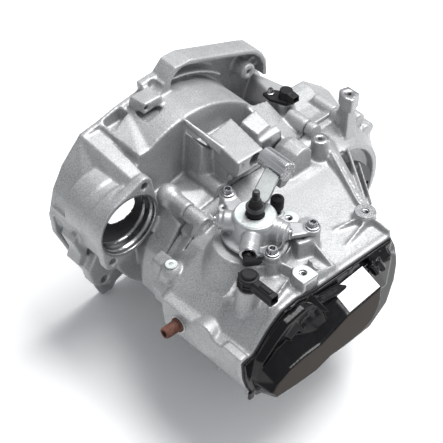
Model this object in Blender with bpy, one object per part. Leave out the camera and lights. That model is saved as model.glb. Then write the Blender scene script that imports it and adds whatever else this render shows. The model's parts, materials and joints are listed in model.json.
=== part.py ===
"""Transverse five-speed manual transmission, built in Blender.

The design frame is in millimetres: X runs along the shafts from the engine face to the
end cover, Y runs from the starter side to the differential side, Z is up along the
selector shaft, and the origin is the centre of the selector housing's top face.
ROW_SHIFT moves that frame so that the assembly stands on Z = 0, centred on X and Y.
"""
import math

import bmesh
import bpy
from mathutils import Matrix, Vector

for old in list(bpy.data.objects):
    bpy.data.objects.remove(old, do_unlink=True)

MM = 0.001
GAP = 0.3
ROW_SHIFT = Vector((55.5, -97.8, 287.0))

# Shaft layout, as (Y, Z) positions of axes that all run along X.
INPUT_YZ = (50.0, -110.0)
DIFF_YZ = (214.0, -134.0)
SHAFT_CENTRES = 71.0
FINAL_CENTRES = 104.0
STARTER_YZ = (-80.0, -62.0)
X_STARTER = -130.0
IDLER_YZ = (42.2, -154.3)
ROD_5_YZ = (-20.0, -84.0)

# Stations along X.
X_ENGINE = -240.0
X_FLANGE = -230.0
X_WALL = -160.0
X_JOINT = -97.0
X_REAR_WALL = (40.0, 54.0)
X_COVER = 92.0
COVER_GASKET = 1.0

# Gears: (input teeth, output teeth) of each speed, and the final drive.
GEAR_PAIRS = {"1": (9, 31), "2": (14, 26), "3": (17, 23), "4": (20, 20), "5": (22, 18)}
FINAL_TEETH = (13, 47)
REVERSE_TEETH = (12, 18)
IDLER_MODULE = 3.0
SIDE_TEETH = 14
SPIDER_TEETH = 10
GEAR_MODULE = 2.0 * SHAFT_CENTRES / sum(GEAR_PAIRS["1"])
FINAL_MODULE = 2.0 * FINAL_CENTRES / sum(FINAL_TEETH)
ADDENDUM = 0.80
DEDENDUM = 1.05
PITCH_FILL = 0.40

# Differential.
DIFF_X = -125.0
BEVEL_CONE = 34.0
BEVEL_FACE = 10.0

# Selector.
TURRET_BOLTS = [(40.6, -10.1), (40.5, 55.8), (-66.7, 20.0)]


def two_circle_point(first, first_radius, second, second_radius):
    """The lower point at the given distances from two axes."""
    dy = second[0] - first[0]
    dz = second[1] - first[1]
    gap = math.hypot(dy, dz)
    along = (first_radius ** 2 - second_radius ** 2 + gap ** 2) / (2.0 * gap)
    across = math.sqrt(first_radius ** 2 - along ** 2)
    ey = dy / gap
    ez = dz / gap
    return (first[0] + along * ey + across * ez, first[1] + along * ez - across * ey)


OUTPUT_YZ = two_circle_point(INPUT_YZ, SHAFT_CENTRES, DIFF_YZ, FINAL_CENTRES)


def heading(start, end):
    """Angle about +X of the line from one (Y, Z) axis to another."""
    return math.atan2(end[1] - start[1], end[0] - start[0])


# ---------------------------------------------------------------- materials

def material(name, colour, metallic, roughness):
    mat = bpy.data.materials.new(name)
    mat.use_nodes = True
    shader = mat.node_tree.nodes["Principled BSDF"]
    shader.inputs["Base Color"].default_value = (*colour, 1.0)
    shader.inputs["Metallic"].default_value = metallic
    shader.inputs["Roughness"].default_value = roughness
    return mat


CAST = material("cast_aluminium", (0.56, 0.57, 0.58), 0.9, 0.45)
BLACK_STEEL = material("black_enamel_steel", (0.015, 0.015, 0.016), 0.2, 0.25)
STEEL = material("turned_steel", (0.55, 0.56, 0.57), 1.0, 0.3)
GEAR_STEEL = material("gear_steel", (0.38, 0.38, 0.39), 1.0, 0.35)
DARK_STEEL = material("phosphated_steel", (0.09, 0.09, 0.095), 0.8, 0.5)
PLASTIC = material("black_plastic", (0.02, 0.02, 0.021), 0.0, 0.45)
RUBBER = material("black_rubber", (0.018, 0.018, 0.018), 0.0, 0.75)
RUST = material("rusty_steel", (0.2, 0.08, 0.045), 0.3, 0.7)
SEALANT = material("gasket_fibre", (0.05, 0.05, 0.052), 0.0, 0.8)
CAST_IRON = material("cast_iron", (0.2, 0.2, 0.21), 0.8, 0.55)


# ---------------------------------------------------------------- mesh tools

def add_object(name, verts, faces, mat, origin=(0.0, 0.0, 0.0), smooth=False):
    """One object from design-frame millimetres, with its origin at the given point."""
    base = Vector(origin)
    mesh = bpy.data.meshes.new(name)
    bm = bmesh.new()
    made = [bm.verts.new((Vector(v) - base) * MM) for v in verts]
    for face in faces:
        bm.faces.new([made[i] for i in face])
    bmesh.ops.recalc_face_normals(bm, faces=bm.faces)
    for face in bm.faces:
        face.smooth = smooth
    bm.to_mesh(mesh)
    bm.free()
    mesh.materials.append(mat)
    obj = bpy.data.objects.new(name, mesh)
    obj.location = (base + ROW_SHIFT) * MM
    bpy.context.scene.collection.objects.link(obj)
    return obj


def helper(obj):
    """Keep an object for a Boolean only."""
    obj.hide_render = True
    obj.display_type = "WIRE"
    return obj


def loft_data(rings):
    """Closed body through rings of equal length, each a list of points."""
    count = len(rings[0])
    verts = [p for ring in rings for p in ring]
    faces = [list(range(count))[::-1]]
    for level in range(len(rings) - 1):
        start = level * count
        for i in range(count):
            j = (i + 1) % count
            faces.append([start + i, start + j, start + count + j, start + count + i])
    faces.append([(len(rings) - 1) * count + i for i in range(count)])
    return verts, faces


def along_x(outline, x):
    return [(x, y, z) for y, z in outline]


def loft(name, stations, mat, origin=(0.0, 0.0, 0.0)):
    """Body through (X, outline) stations."""
    rings = [along_x(outline, x) for x, outline in stations]
    return add_object(name, *loft_data(rings), mat, origin)


def prism(name, outline, x0, x1, mat, origin=(0.0, 0.0, 0.0)):
    return loft(name, [(x0, outline), (x1, outline)], mat, origin)


def axis_matrix(centre, direction):
    """Frame whose local X runs along the direction, at the centre."""
    unit = Vector(direction).normalized()
    if unit.x < -0.999:
        turn = Matrix.Rotation(math.pi, 4, "Z")
    else:
        turn = Vector((1.0, 0.0, 0.0)).rotation_difference(unit).to_matrix().to_4x4()
    return Matrix.Translation(Vector(centre)) @ turn


def turned_data(profile, count, centre, direction, closed):
    """Body of revolution: (h, r) points along the axis; closed profiles make rings."""
    frame = axis_matrix(centre, direction)
    verts = []
    rows = []
    for h, r in profile:
        if r < 1e-6:
            rows.append([len(verts)])
            verts.append(frame @ Vector((h, 0.0, 0.0)))
            continue
        row = []
        for i in range(count):
            a = math.tau * i / count
            row.append(len(verts))
            verts.append(frame @ Vector((h, r * math.cos(a), r * math.sin(a))))
        rows.append(row)
    faces = []
    pairs = list(zip(rows, rows[1:]))
    if closed:
        pairs.append((rows[-1], rows[0]))
    for lower, upper in pairs:
        for i in range(count):
            j = (i + 1) % count
            if len(lower) == 1 and len(upper) == 1:
                continue
            if len(lower) == 1:
                faces.append([lower[0], upper[j], upper[i]])
            elif len(upper) == 1:
                faces.append([lower[i], lower[j], upper[0]])
            else:
                faces.append([lower[i], lower[j], upper[j], upper[i]])
    if not closed:
        for row in (rows[0], rows[-1]):
            if len(row) > 1:
                faces.append(list(row))
    return verts, faces


def turned(name, profile, mat, centre=(0.0, 0.0, 0.0), direction=(1.0, 0.0, 0.0),
           count=24, ring=False, origin=None):
    verts, faces = turned_data(profile, count, centre, direction, ring)
    return add_object(name, verts, faces, mat, centre if origin is None else origin, True)


def cylinder(name, centre, direction, length, radius, mat=None, count=20, top=None):
    """Round bar from the centre point along the direction; top is the far radius."""
    far = radius if top is None else top
    profile = [(0.0, radius), (length, far)]
    verts, faces = turned_data(profile, count, centre, direction, False)
    return add_object(name, verts, faces, mat or CAST, centre)


def block(name, x, y, z, mat=None):
    """Box between (low, high) pairs."""
    outline = [(y[0], z[0]), (y[1], z[0]), (y[1], z[1]), (y[0], z[1])]
    return prism(name, outline, x[0], x[1], mat or CAST)


def boolean(target, tool, operation):
    mod = target.modifiers.new(tool.name, "BOOLEAN")
    mod.object = helper(tool)
    mod.operation = operation
    mod.solver = "EXACT"


def join(target, *tools):
    for tool in tools:
        boolean(target, tool, "UNION")


def carve(target, *tools):
    for tool in tools:
        boolean(target, tool, "DIFFERENCE")


def x_axis_point(yz, x=0.0):
    return (x, yz[0], yz[1])


def x_round(name, yz, x0, x1, radius, mat=None, count=24, top=None):
    return cylinder(name, x_axis_point(yz, x0), (1, 0, 0), x1 - x0, radius, mat, count, top)


def scaled(outline, factor, about):
    return [(about[0] + (y - about[0]) * factor, about[1] + (z - about[1]) * factor)
            for y, z in outline]


# ---------------------------------------------------------------- gears

def tooth_ring(yz, teeth, module, phase):
    """Two loops: the toothed outline and the root corners; a tooth centre is at the phase."""
    pitch = 0.5 * module * teeth
    tip = pitch + ADDENDUM * module
    root = pitch - DEDENDUM * module
    half = 0.5 * PITCH_FILL * math.tau / teeth
    slope = math.tan(math.radians(20.0))
    tip_half = half - slope * ADDENDUM * module / pitch
    root_half = half + slope * DEDENDUM * module / pitch
    limit = 0.46 * math.tau / teeth
    root_half = min(root_half, limit)
    outline = []
    for i in range(teeth):
        mid = phase + math.tau * i / teeth
        for radius, offset in (
            (root, -root_half), (tip, -tip_half), (tip, tip_half), (root, root_half)
        ):
            angle = mid + offset
            outline.append((yz[0] + radius * math.cos(angle), yz[1] + radius * math.sin(angle)))
    return outline


def gear_data(yz, teeth, module, x0, x1, bore, phase, collars=()):
    """Spur gear with a bore; a collar is (end X, radius) standing on either face."""
    outline = tooth_ring(yz, teeth, module, phase)
    verts = along_x(outline, x0) + along_x(outline, x1)
    total = 4 * teeth
    faces = []
    for i in range(total):
        j = (i + 1) % total
        faces.append([i, j, total + j, total + i])

    def circle(x, radius):
        start = len(verts)
        for i in range(teeth):
            angle = phase + math.tau * i / teeth
            verts.append((x, yz[0] + radius * math.cos(angle), yz[1] + radius * math.sin(angle)))
        return start

    def bridge(lower, upper):
        for i in range(teeth):
            j = (i + 1) % teeth
            faces.append([lower + i, lower + j, upper + j, upper + i])

    inner_starts = []
    for side, x_face in ((0, x0), (total, x1)):
        sign = -1.0 if side == 0 else 1.0
        mine = [c for c in collars if (c[0] - x_face) * sign > 0.0]
        first = circle(x_face, mine[0][1] if mine else bore)
        for i in range(teeth):
            a, b, c, d = (side + 4 * i + k for k in range(4))
            following = side + (4 * (i + 1)) % total
            j = (i + 1) % teeth
            faces.append([a, b, c, d])
            faces.append([first + i, a, d])
            faces.append([first + i, d, following])
            faces.append([first + i, following, first + j])
        if mine:
            outer = circle(mine[0][0], mine[0][1])
            bridge(first, outer)
            inner = circle(mine[0][0], bore)
            bridge(outer, inner)
            inner_starts.append(inner)
        else:
            inner_starts.append(first)
    bridge(inner_starts[0], inner_starts[1])
    return verts, faces


def gear(name, yz, teeth, module, x0, x1, bore, phase, collars=(), mat=None):
    verts, faces = gear_data(yz, teeth, module, x0, x1, bore, phase, collars)
    return add_object(name, verts, faces, mat or GEAR_STEEL, x_axis_point(yz, 0.5 * (x0 + x1)))


def pinion(name, yz, teeth, module, x0, x1, phase):
    """Solid toothed body, joined into a shaft."""
    return prism(name, tooth_ring(yz, teeth, module, phase), x0, x1, GEAR_STEEL)


def bevel_gear_data(teeth, cone_half, phase, apex, direction, bore, back):
    """Bevel gear whose pitch cone has the given half angle and its point at the apex."""
    frame = axis_matrix(apex, direction)
    module = 2.0 * BEVEL_CONE * math.sin(cone_half) / teeth
    reach = BEVEL_CONE * math.cos(cone_half)
    tip_angle = cone_half + math.atan(ADDENDUM * module / BEVEL_CONE)
    root_angle = cone_half - math.atan(1.15 * DEDENDUM * module / BEVEL_CONE)
    half = 0.5 * 0.36 * math.tau / teeth
    rings = []
    for scale in (1.0, 1.0 - BEVEL_FACE / BEVEL_CONE):
        h = reach * scale
        ring = []
        for i in range(teeth):
            mid = phase + math.tau * i / teeth
            for angle, spread in (
                (root_angle, -1.5), (tip_angle, -0.55), (tip_angle, 0.55), (root_angle, 1.5)
            ):
                r = h * math.tan(angle)
                a = mid + half * spread
                ring.append(frame @ Vector((h, r * math.cos(a), r * math.sin(a))))
        rings.append(ring)
    verts = rings[0] + rings[1]
    total = 4 * teeth
    faces = []
    for i in range(total):
        j = (i + 1) % total
        faces.append([i, j, total + j, total + i])

    def circle(h, radius):
        start = len(verts)
        for i in range(teeth):
            a = phase + math.tau * i / teeth
            verts.append(frame @ Vector((h, radius * math.cos(a), radius * math.sin(a))))
        return start

    def cap(side, first):
        for i in range(teeth):
            a, b, c, d = (side + 4 * i + k for k in range(4))
            following = side + (4 * (i + 1)) % total
            j = (i + 1) % teeth
            faces.append([a, b, c, d])
            faces.append([first + i, a, d])
            faces.append([first + i, d, following])
            faces.append([first + i, following, first + j])

    def bridge(lower, upper):
        for i in range(teeth):
            j = (i + 1) % teeth
            faces.append([lower + i, lower + j, upper + j, upper + i])

    hub = reach * math.tan(root_angle) - 1.5
    outer = circle(reach, hub)
    cap(0, outer)
    outer_back = circle(reach + back, hub)
    bridge(outer, outer_back)
    bore_back = circle(reach + back, bore)
    bridge(outer_back, bore_back)
    bore_front = circle(reach * (1.0 - BEVEL_FACE / BEVEL_CONE), bore)
    cap(total, bore_front)
    bridge(bore_back, bore_front)
    return verts, faces


# ---------------------------------------------------------------- clutch housing

ENGINE_OUTLINE = [
    (-121, -95), (-112, -58), (-96, -28), (-65, 5), (-40, 12), (-12, 18), (39, 33), (47, 46),
    (56, 54), (68, 56), (192, 22), (216, 2), (225, -14), (229, -30), (236, -42), (246, -66),
    (260, -92), (270, -112), (273, -136), (268, -162), (250, -196), (222, -232), (186, -262),
    (158, -284), (150, -287), (134, -287), (126, -276), (104, -268), (-4, -268), (-24, -276),
    (-32, -287), (-50, -287), (-58, -270), (-66, -244), (-81, -215), (-92, -188), (-104, -158),
    (-118, -126),
]
CLUTCH_RADIUS = 122.0
BARREL_RADIUS = 136.0
STARTER_BORE = 38.0

FRONT_BOX = [
    (-56, -112), (-48, -100), (-30, -84), (0, -66), (60, -52), (112, -52), (166, -48),
    (196, -38), (246, -38), (284, -66), (308, -104), (309, -150), (292, -190), (254, -220),
    (205, -230), (150, -222), (100, -217), (40, -204), (-20, -190), (-62, -178), (-62, -140),
]
FRONT_BOX_NEAR = [(-34, -112), (-30, -100), (-16, -84), (10, -66)]
FRONT_BOX_NEAR += scaled(FRONT_BOX[4:19], 1.05, INPUT_YZ) + [(-44, -172), (-48, -138)]
JOINT_BOLTS = [
    (-12, -69), (40, -53), (184, -34), (246, -34), (292, -84), (304, -160), (262, -222),
    (190, -236), (90, -214), (-30, -190), (-60, -124),
]


def build_clutch_housing():
    body = prism("clutch_housing", ENGINE_OUTLINE, X_ENGINE, X_FLANGE, CAST)
    bar_outer = [(39, 33), (47, 46), (56, 54), (68, 56), (192, 22), (216, 2), (225, -14),
                 (212, -40), (150, 4), (100, 30), (62, 22)]
    joints = [
        x_round("bh_joint_%d" % i, yz, -122, X_JOINT, 9.5, count=8)
        for i, yz in enumerate(JOINT_BOLTS)
    ]
    join(
        body,
        x_round("bh_barrel", INPUT_YZ, X_ENGINE, X_WALL, BARREL_RADIUS, count=40),
        prism("bh_bar", bar_outer, X_ENGINE, -212, CAST),
        loft("bh_front", [(-172, FRONT_BOX_NEAR), (-157, FRONT_BOX_NEAR), (-130, FRONT_BOX),
                          (X_JOINT, FRONT_BOX)], CAST),
        x_round("bh_starter", STARTER_YZ, X_ENGINE, X_STARTER, 46.4, count=24),
        x_round("bh_starter_ear_high", (-55, -14), -154, X_STARTER, 12.0, count=10),
        x_round("bh_starter_ear_low", (-107, -107), -154, X_STARTER, 12.0, count=10),
        prism("bh_starter_ramp", [(-90.3, -26.2), (-66.4, 3.6), (-44.2, -4.3), (-34.3, -40.4),
                                  (-70.6, -46.3)], -237.4, -134.3, CAST),
        prism("bh_starter_web", [(-118.7, -80.3), (-90.2, -70.4), (-50.3, -100.6),
                                 (-62.4, -149.2), (-100.6, -128.3), (-111.3, -112.4)],
              -236.6, -150.7, CAST),
        loft("bh_panel", [(-162.7, [(-50, -108), (-38, -90), (-32, -66), (4, -62), (4, -112)]),
                          (-104, [(-46, -117), (-34, -104), (-16, -78), (4, -67), (4, -118)])],
             CAST),
        prism("bh_lever_block", [(50, 0), (94, 2), (128, -30), (128, -70), (50, -70)],
              -175, -112, CAST),
        prism("bh_long_rib", [(46, 14), (51, 14), (52, -60), (47, -60)], -165, -112, CAST),
        block("bh_pad_a", (-156, -126), (100, 126), (-60, 0)),
        block("bh_pad_b", (-124, -99), (100, 146), (-60, -8)),
        x_round("bh_diff_boss", DIFF_YZ, X_ENGINE, -150, 51.0, count=24),
        x_round("bh_boss_bar", (190, -12), -238, -210, 11.0, count=12),
        block("bh_clamp", (-232, -194), (2, 34), (-8, 36)),
        cylinder("bh_sensor_boss", (-146, 196, -64), (0, 0, 1), 40, 12, count=12),
        cylinder("bh_sensor_lug", (-165, 187, -64), (0, 0, 1), 40, 7, count=8),
        prism("bh_foot_ledge", [(-112, -128), (-60, -150), (-60, -160), (-108, -138)],
              X_ENGINE, -163, CAST),
        prism("bh_ear", [(-60, -150), (-100, -140), (-106, -172), (-94, -196), (-80, -204),
                         (-66, -196), (-60, -180)], -190, -178, CAST),
        *joints,
    )
    gear_room = [
        x_round("bh_room_diff", DIFF_YZ, -152, X_JOINT + 1, 88.0, count=32),
        x_round("bh_room_output", OUTPUT_YZ, -150, X_JOINT + 1, 61.0, count=24),
        x_round("bh_room_input", INPUT_YZ, -150, X_JOINT + 1, 45.0, count=20),
        x_round("bh_room_case", DIFF_YZ, -158, -140, 56.0, count=24),
        x_round("bh_room_idler", IDLER_YZ, -150, X_JOINT + 1, 14.0, count=12),
        prism("bh_room_top", [(-6, -86), (8, -74), (170, -64), (170, -140), (-6, -140)],
              -148, X_JOINT + 1, CAST),
    ]
    clutch_room = turned(
        "bh_clutch_room",
        [(-2, CLUTCH_RADIUS), (62, CLUTCH_RADIUS), (75, 98), (77, 40)],
        CAST, x_axis_point(INPUT_YZ, X_ENGINE), count=40)
    bore = turned(
        "bh_starter_bore",
        [(-2, STARTER_BORE), (102, STARTER_BORE), (102, 41.5), (112, 41.5)],
        CAST, x_axis_point(STARTER_YZ, X_ENGINE), count=24)
    bolt_holes = [(97, 13), (219, -25), (-41, -268), (142, -268), (250, -140), (-96, -120),
                  (-60, -6)]
    carve(
        body,
        clutch_room,
        bore,
        *gear_room,
        x_round("bh_guide_hole", INPUT_YZ, -170, -140, 17.0),
        x_round("bh_input_seat", INPUT_YZ, -164, -140, 26.0),
        x_round("bh_output_seat", OUTPUT_YZ, -162, -140, 31.0),
        x_round("bh_diff_seat", DIFF_YZ, -178, -140, 35.0),
        x_round("bh_diff_seal", DIFF_YZ, -200, -150, 25.0),
        x_round("bh_flange_pocket", DIFF_YZ, -242, -196, 43.5, count=24),
        x_round("bh_idler_seat", IDLER_YZ, -158, -140, 7.5, count=12),
        x_round("bh_lever_window", (98, -42), -180, -110, 12.0, count=14),
        prism("bh_bar_recess", [(66, 28), (100, 40), (190, 14), (212, -8), (206, -22),
                                (180, -10), (150, 8), (100, 34)], -232, -210, CAST),
        prism("bh_band_window", [(-50, 2), (-22, 10), (-20, -8), (-44, -12)],
              -228, -214, CAST),
        x_round("bh_clamp_hole", (18, 27), -212, -190, 4.0, count=8),
        cylinder("bh_sensor_hole", (-146, 196, -52), (0, 0, 1), 40, 8.6, count=12),
        block("bh_clamp_slot", (-214, -190), (8, 30), (6, 13)),
        x_round("bh_ear_hole", (-84, -188), -200, -170, 6.5, count=10),
        x_round("bh_starter_hole_high", (-55, -14), -152, -120, 5.5, count=8),
        x_round("bh_starter_hole_low", (-107, -107), -152, -120, 5.5, count=8),
        *[x_round("bh_bolt_hole_%d" % i, yz, X_ENGINE - 2, -180, 6.3, count=8)
          for i, yz in enumerate(bolt_holes)],
    )
    return body


# ---------------------------------------------------------------- gear casing

CASE_MID = [
    (-62, -76), (-52, -68), (-42, -61), (-10, -53), (40, -54), (90, -56), (140, -57),
    (192, -57), (204, -80), (204, -120), (196, -170), (170, -208), (120, -217), (60, -212),
    (10, -202), (-40, -188), (-86, -170), (-100, -150), (-104, -126), (-106, -103), (-80, -97),
]
CASE_END = [
    (-66, -73), (-56, -64), (-45, -56), (-20, -51), (11, -58), (60, -58), (100, -58),
    (138, -58), (149, -78), (157, -106), (158, -140), (148, -176), (110, -196), (60, -197),
    (10, -194), (-40, -188), (-82, -174), (-95, -150), (-101, -130), (-104, -103), (-82, -97),
]


def build_gear_casing():
    body = loft(
        "gear_casing",
        [(X_JOINT, FRONT_BOX), (X_JOINT + 10, FRONT_BOX),
         (-66, [(0.35 * a[0] + 0.65 * b[0], 0.35 * a[1] + 0.65 * b[1])
                for a, b in zip(FRONT_BOX, CASE_MID)]),
         (-44, CASE_MID), (20, [(0.5 * a[0] + 0.5 * b[0], 0.5 * a[1] + 0.5 * b[1])
                                for a, b in zip(CASE_MID, CASE_END)]),
         (X_COVER, CASE_END)],
        CAST)
    dome = turned(
        "gc_dome", [(0, 93), (14, 92), (37, 75), (42, 74)],
        CAST, x_axis_point(DIFF_YZ, X_JOINT), count=32)
    joints = [
        x_round("gc_joint_%d" % i, yz, X_JOINT, -78, 9.5, count=8)
        for i, yz in enumerate(JOINT_BOLTS)
    ]
    foot = [(96, -150), (204, -150), (176, -287), (124, -287)]
    join(
        body,
        dome,
        *joints,
        cylinder("gc_turret_seat", (0, 0, -72), (0, 0, 1), 36, 44, top=42, count=24),
        cylinder("gc_turret_dome", (0, -14, -92), (0, 0, 1), 54, 52, top=36, count=24),
        cylinder("gc_lug_a", (40.6, -10.1, -66), (0, 0, 1), 33, 11, top=9, count=10),
        cylinder("gc_lug_b", (40.5, 55.8, -66), (0, 0, 1), 33, 11, top=9, count=10),
        cylinder("gc_lug_c", (-66.7, 20, -66), (0, 0, 1), 33, 12, top=9, count=10),
        cylinder("gc_sensor_boss", (50, -56, -76), (0, 0, 1), 34, 15, top=12, count=14),
        cylinder("gc_pad_round", (3, 55, -66), (0, 0, 1), 27, 12, count=14),
        cylinder("gc_pad_cover", (78, 3, -66), (0, 0, 1), 28, 12, count=14),
        cylinder("gc_big_boss", (50, 139, -66), (0, 0, 1), 21, 16, top=14, count=16),
        prism("gc_rear_block", [(96, -60), (100, -20), (160, -24), (168, -60)], -92, -34, CAST),
        cylinder("gc_lug_tall", (-82, 243, -60), (0, 0, 1), 66, 14, top=12, count=12),
        cylinder("gc_vent_boss", (-66, 178, -60), (0, 0, 1), 33, 11, count=12),
        block("gc_front_boss", (-72, -46), (-88, -50), (-138, -86)),
        cylinder("gc_disc_boss", (26, -72, -112), (0, -1, -0.18), 44, 26, count=20),
        cylinder("gc_plug_boss", (-14, -70, -124), (0, -1, 0), 34, 11, count=12),
        x_round("gc_output_boss", DIFF_YZ, X_JOINT + 10, -60, 44, count=24),
        prism("gc_foot", foot, -10, 44, CAST),
        prism("gc_fan_rib_a", [(170, -60), (176, -56), (206, -100), (200, -110)], -50, -10, CAST),
    )
    inner = scaled(CASE_MID, 0.90, (50, -128))
    carve(
        body,
        loft("gc_room", [(X_JOINT - 1, scaled(FRONT_BOX, 0.92, (108, -128))),
                         (-80, scaled(FRONT_BOX, 0.90, (100, -128))),
                         (-60, inner), (X_REAR_WALL[0], scaled(CASE_MID, 0.86, (50, -128)))], CAST),
        x_round("gc_room_first", OUTPUT_YZ, X_JOINT - 1, -60, 61.0, count=24),
        x_round("gc_room_fifth", OUTPUT_YZ, X_REAR_WALL[1], X_COVER + 1, 37.5, count=24),
        x_round("gc_room_diff", DIFF_YZ, X_JOINT - 1, -86, 88.0, count=32),
        turned("gc_arch", [(0, 64), (30, 70)], CAST, x_axis_point(DIFF_YZ, -66), count=32),
        x_round("gc_diff_seat", DIFF_YZ, -88, -70, 35.0),
        x_round("gc_diff_seal", DIFF_YZ, -90, -50, 25.0),
        loft("gc_fifth_room", [(X_REAR_WALL[1], scaled(CASE_END, 0.88, (40, -128))),
                               (X_COVER + 1, scaled(CASE_END, 0.90, (40, -128)))], CAST),
        x_round("gc_rod_hole", ROD_5_YZ, 30, 60, 7.3, count=12),
        x_round("gc_input_seat", INPUT_YZ, 30, 60, 28.0),
        x_round("gc_output_seat", OUTPUT_YZ, 30, 60, 28.0),
        block("gc_finger_room", (-14, 14), (-46, -4), (-92, -66)),
        cylinder("gc_selector_hole", (0, 0, -80), (0, 0, 1), 50, 27, count=24),
        cylinder("gc_sensor_hole", (50, -56, -72), (0, 0, 1), 40, 7.1, count=12),
        cylinder("gc_vent_hole", (-13, 50, -70), (0, 0, 1), 40, 4.2, count=10),
        cylinder("gc_plug_hole", (-14, -80, -124), (0, -1, 0), 40, 6.2, count=12),
        cylinder("gc_pad_round_hole", (3, 55, -50), (0, 0, 1), 20, 4.2, count=8),
        cylinder("gc_pad_cover_hole", (78, 3, -50), (0, 0, 1), 20, 4.2, count=8),
        *[cylinder("gc_lug_hole_%d" % i, (x, y, -58), (0, 0, 1), 30, 4.4, count=8)
          for i, (x, y) in enumerate(TURRET_BOLTS)],
        cylinder("gc_tall_hole", (-82, 243, -14), (0, 0, 1), 30, 4.5, count=8),
        cylinder("gc_vent_boss_hole", (-66, 178, -42), (0, 0, 1), 20, 3.5, count=8),
    )
    return body


# ---------------------------------------------------------------- covers and selector housing

COVER_STEP = [
    (-86, -102), (-66, -80), (-48, -66), (-20, -59), (12, -64), (60, -65), (100, -65),
    (130, -66), (143, -80), (146, -94), (146, -124), (138, -160), (110, -186), (60, -189),
    (10, -186), (-38, -179), (-76, -164), (-90, -132),
]
COVER_BULGE = [
    (-84, -110), (-64, -86), (-46, -74), (-20, -69), (12, -68), (60, -68), (84, -69),
    (92, -80), (97, -100), (97, -125), (88, -142), (70, -152), (40, -158), (8, -158),
    (-16, -166), (-50, -166), (-82, -162), (-90, -138),
]
COVER_FACE = [
    (-80, -118), (-62, -102), (-44, -94), (-20, -90), (12, -89), (60, -87), (84, -84),
    (88, -92), (89, -104), (87, -118), (79, -132), (64, -140), (40, -143), (8, -143),
    (-15, -151), (-49, -150), (-80, -147), (-87, -132),
]


def build_covers():
    rim = scaled(CASE_END, 0.985, (27, -128))
    start = X_COVER + COVER_GASKET + GAP
    gasket = prism("cover_gasket", rim, X_COVER + 0.1, X_COVER + COVER_GASKET, SEALANT)
    carve(gasket, prism("cg_opening", scaled(CASE_END, 0.93, (27, -128)), X_COVER - 2,
                        X_COVER + 3, SEALANT))
    cover = prism("end_cover", rim, start, start + 2.5, BLACK_STEEL)
    join(
        cover,
        loft("ec_step", [(start + 1, COVER_STEP), (106, scaled(COVER_STEP, 0.985, (27, -128)))],
             BLACK_STEEL),
        loft("ec_bulge", [(99, COVER_BULGE), (129, COVER_FACE)], BLACK_STEEL),
        prism("ec_press_a", [(-44, -68), (-30, -62), (-30, -90), (-44, -90)], 100, 112,
              BLACK_STEEL),
        prism("ec_press_b", [(104, -72), (118, -72), (118, -110), (104, -110)], 100, 112,
              BLACK_STEEL),
    )
    carve(
        cover,
        loft("ec_hollow", [(start - 1, scaled(COVER_STEP, 0.95, (27, -128))),
                           (104, scaled(COVER_STEP, 0.95, (27, -128)))], BLACK_STEEL),
        loft("ec_bulge_hollow", [(97, scaled(COVER_BULGE, 0.955, (5, -120))),
                                 (127, scaled(COVER_FACE, 0.955, (5, -120)))], BLACK_STEEL),
    )


RADIAL_PORTS = [((0.62, -0.78), 52.0), ((0.906, 0.423), 38.0), ((-0.75, -0.66), 38.0)]
TURRET_SPIGOT = 26.6


def turret_arm(name, bolt):
    """Flat arm from the turret ring out to a bolt."""
    length = math.hypot(*bolt)
    ux, uy = bolt[0] / length, bolt[1] / length
    nx, ny = -uy, ux
    low, high = -32.7, -26.5
    corners = [(20, -17), (length, -8.5), (length + 7, -4), (length + 7, 4), (length, 8.5),
               (20, 17)]
    ring = [(ux * a + nx * b, uy * a + ny * b) for a, b in corners]
    return add_object(
        name,
        *loft_data([[(x, y, low) for x, y in ring], [(x, y, high) for x, y in ring]]),
        CAST)


def build_selector_housing():
    turret = turned(
        "selector_housing",
        [(-52, TURRET_SPIGOT), (-32.7, TURRET_SPIGOT), (-32.7, 38), (-28.5, 38), (-27, 32),
         (-16, 28), (-3, 26), (0, 23)],
        CAST, (0, 0, 0), (0, 0, 1), 24)
    tools = [turret_arm("sh_arm_%d" % i, bolt) for i, bolt in enumerate(TURRET_BOLTS)]
    for i, ((dx, dy), reach) in enumerate(RADIAL_PORTS):
        tools.append(cylinder("sh_port_%d" % i, (0, 0, -15), (dx, dy, 0), reach, 10.5,
                              count=14))
        if i:
            tools.append(cylinder("sh_cap_%d" % i, (0, 0, -15), (dx, dy, 0), reach + 6, 7.0,
                                  count=10))
    join(turret, *tools)
    carve(
        turret,
        cylinder("sh_bore", (0, 0, -60), (0, 0, 1), 80, 8.3, count=16),
        cylinder("sh_collar_room", (0, 0, -7), (0, 0, 1), 10, 11.4, count=16),
        cylinder("sh_hollow", (0, 0, -60), (0, 0, 1), 30, 21, count=16),
        cylinder("sh_port_bore", (18.6, -23.4, -15), (0.62, -0.78, 0), 40, 7.5, count=12),
        *[cylinder("sh_hole_%d" % i, (x, y, -40), (0, 0, 1), 20, 4.4, count=8)
          for i, (x, y) in enumerate(TURRET_BOLTS)],
    )
    for i, (x, y) in enumerate(TURRET_BOLTS):
        turned(
            "selector_bolt_%d" % (i + 1),
            [(-52, 4.0), (-26.2, 4.0), (-26.2, 8.5), (-24.6, 8.5), (-24.6, 6.6), (-18.5, 6.6),
             (-18.5, 3.4), (-22, 3.4), (-22, 0)],
            STEEL, (x, y, 0), (0, 0, 1), 8)


# ---------------------------------------------------------------- shafts and gears

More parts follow.
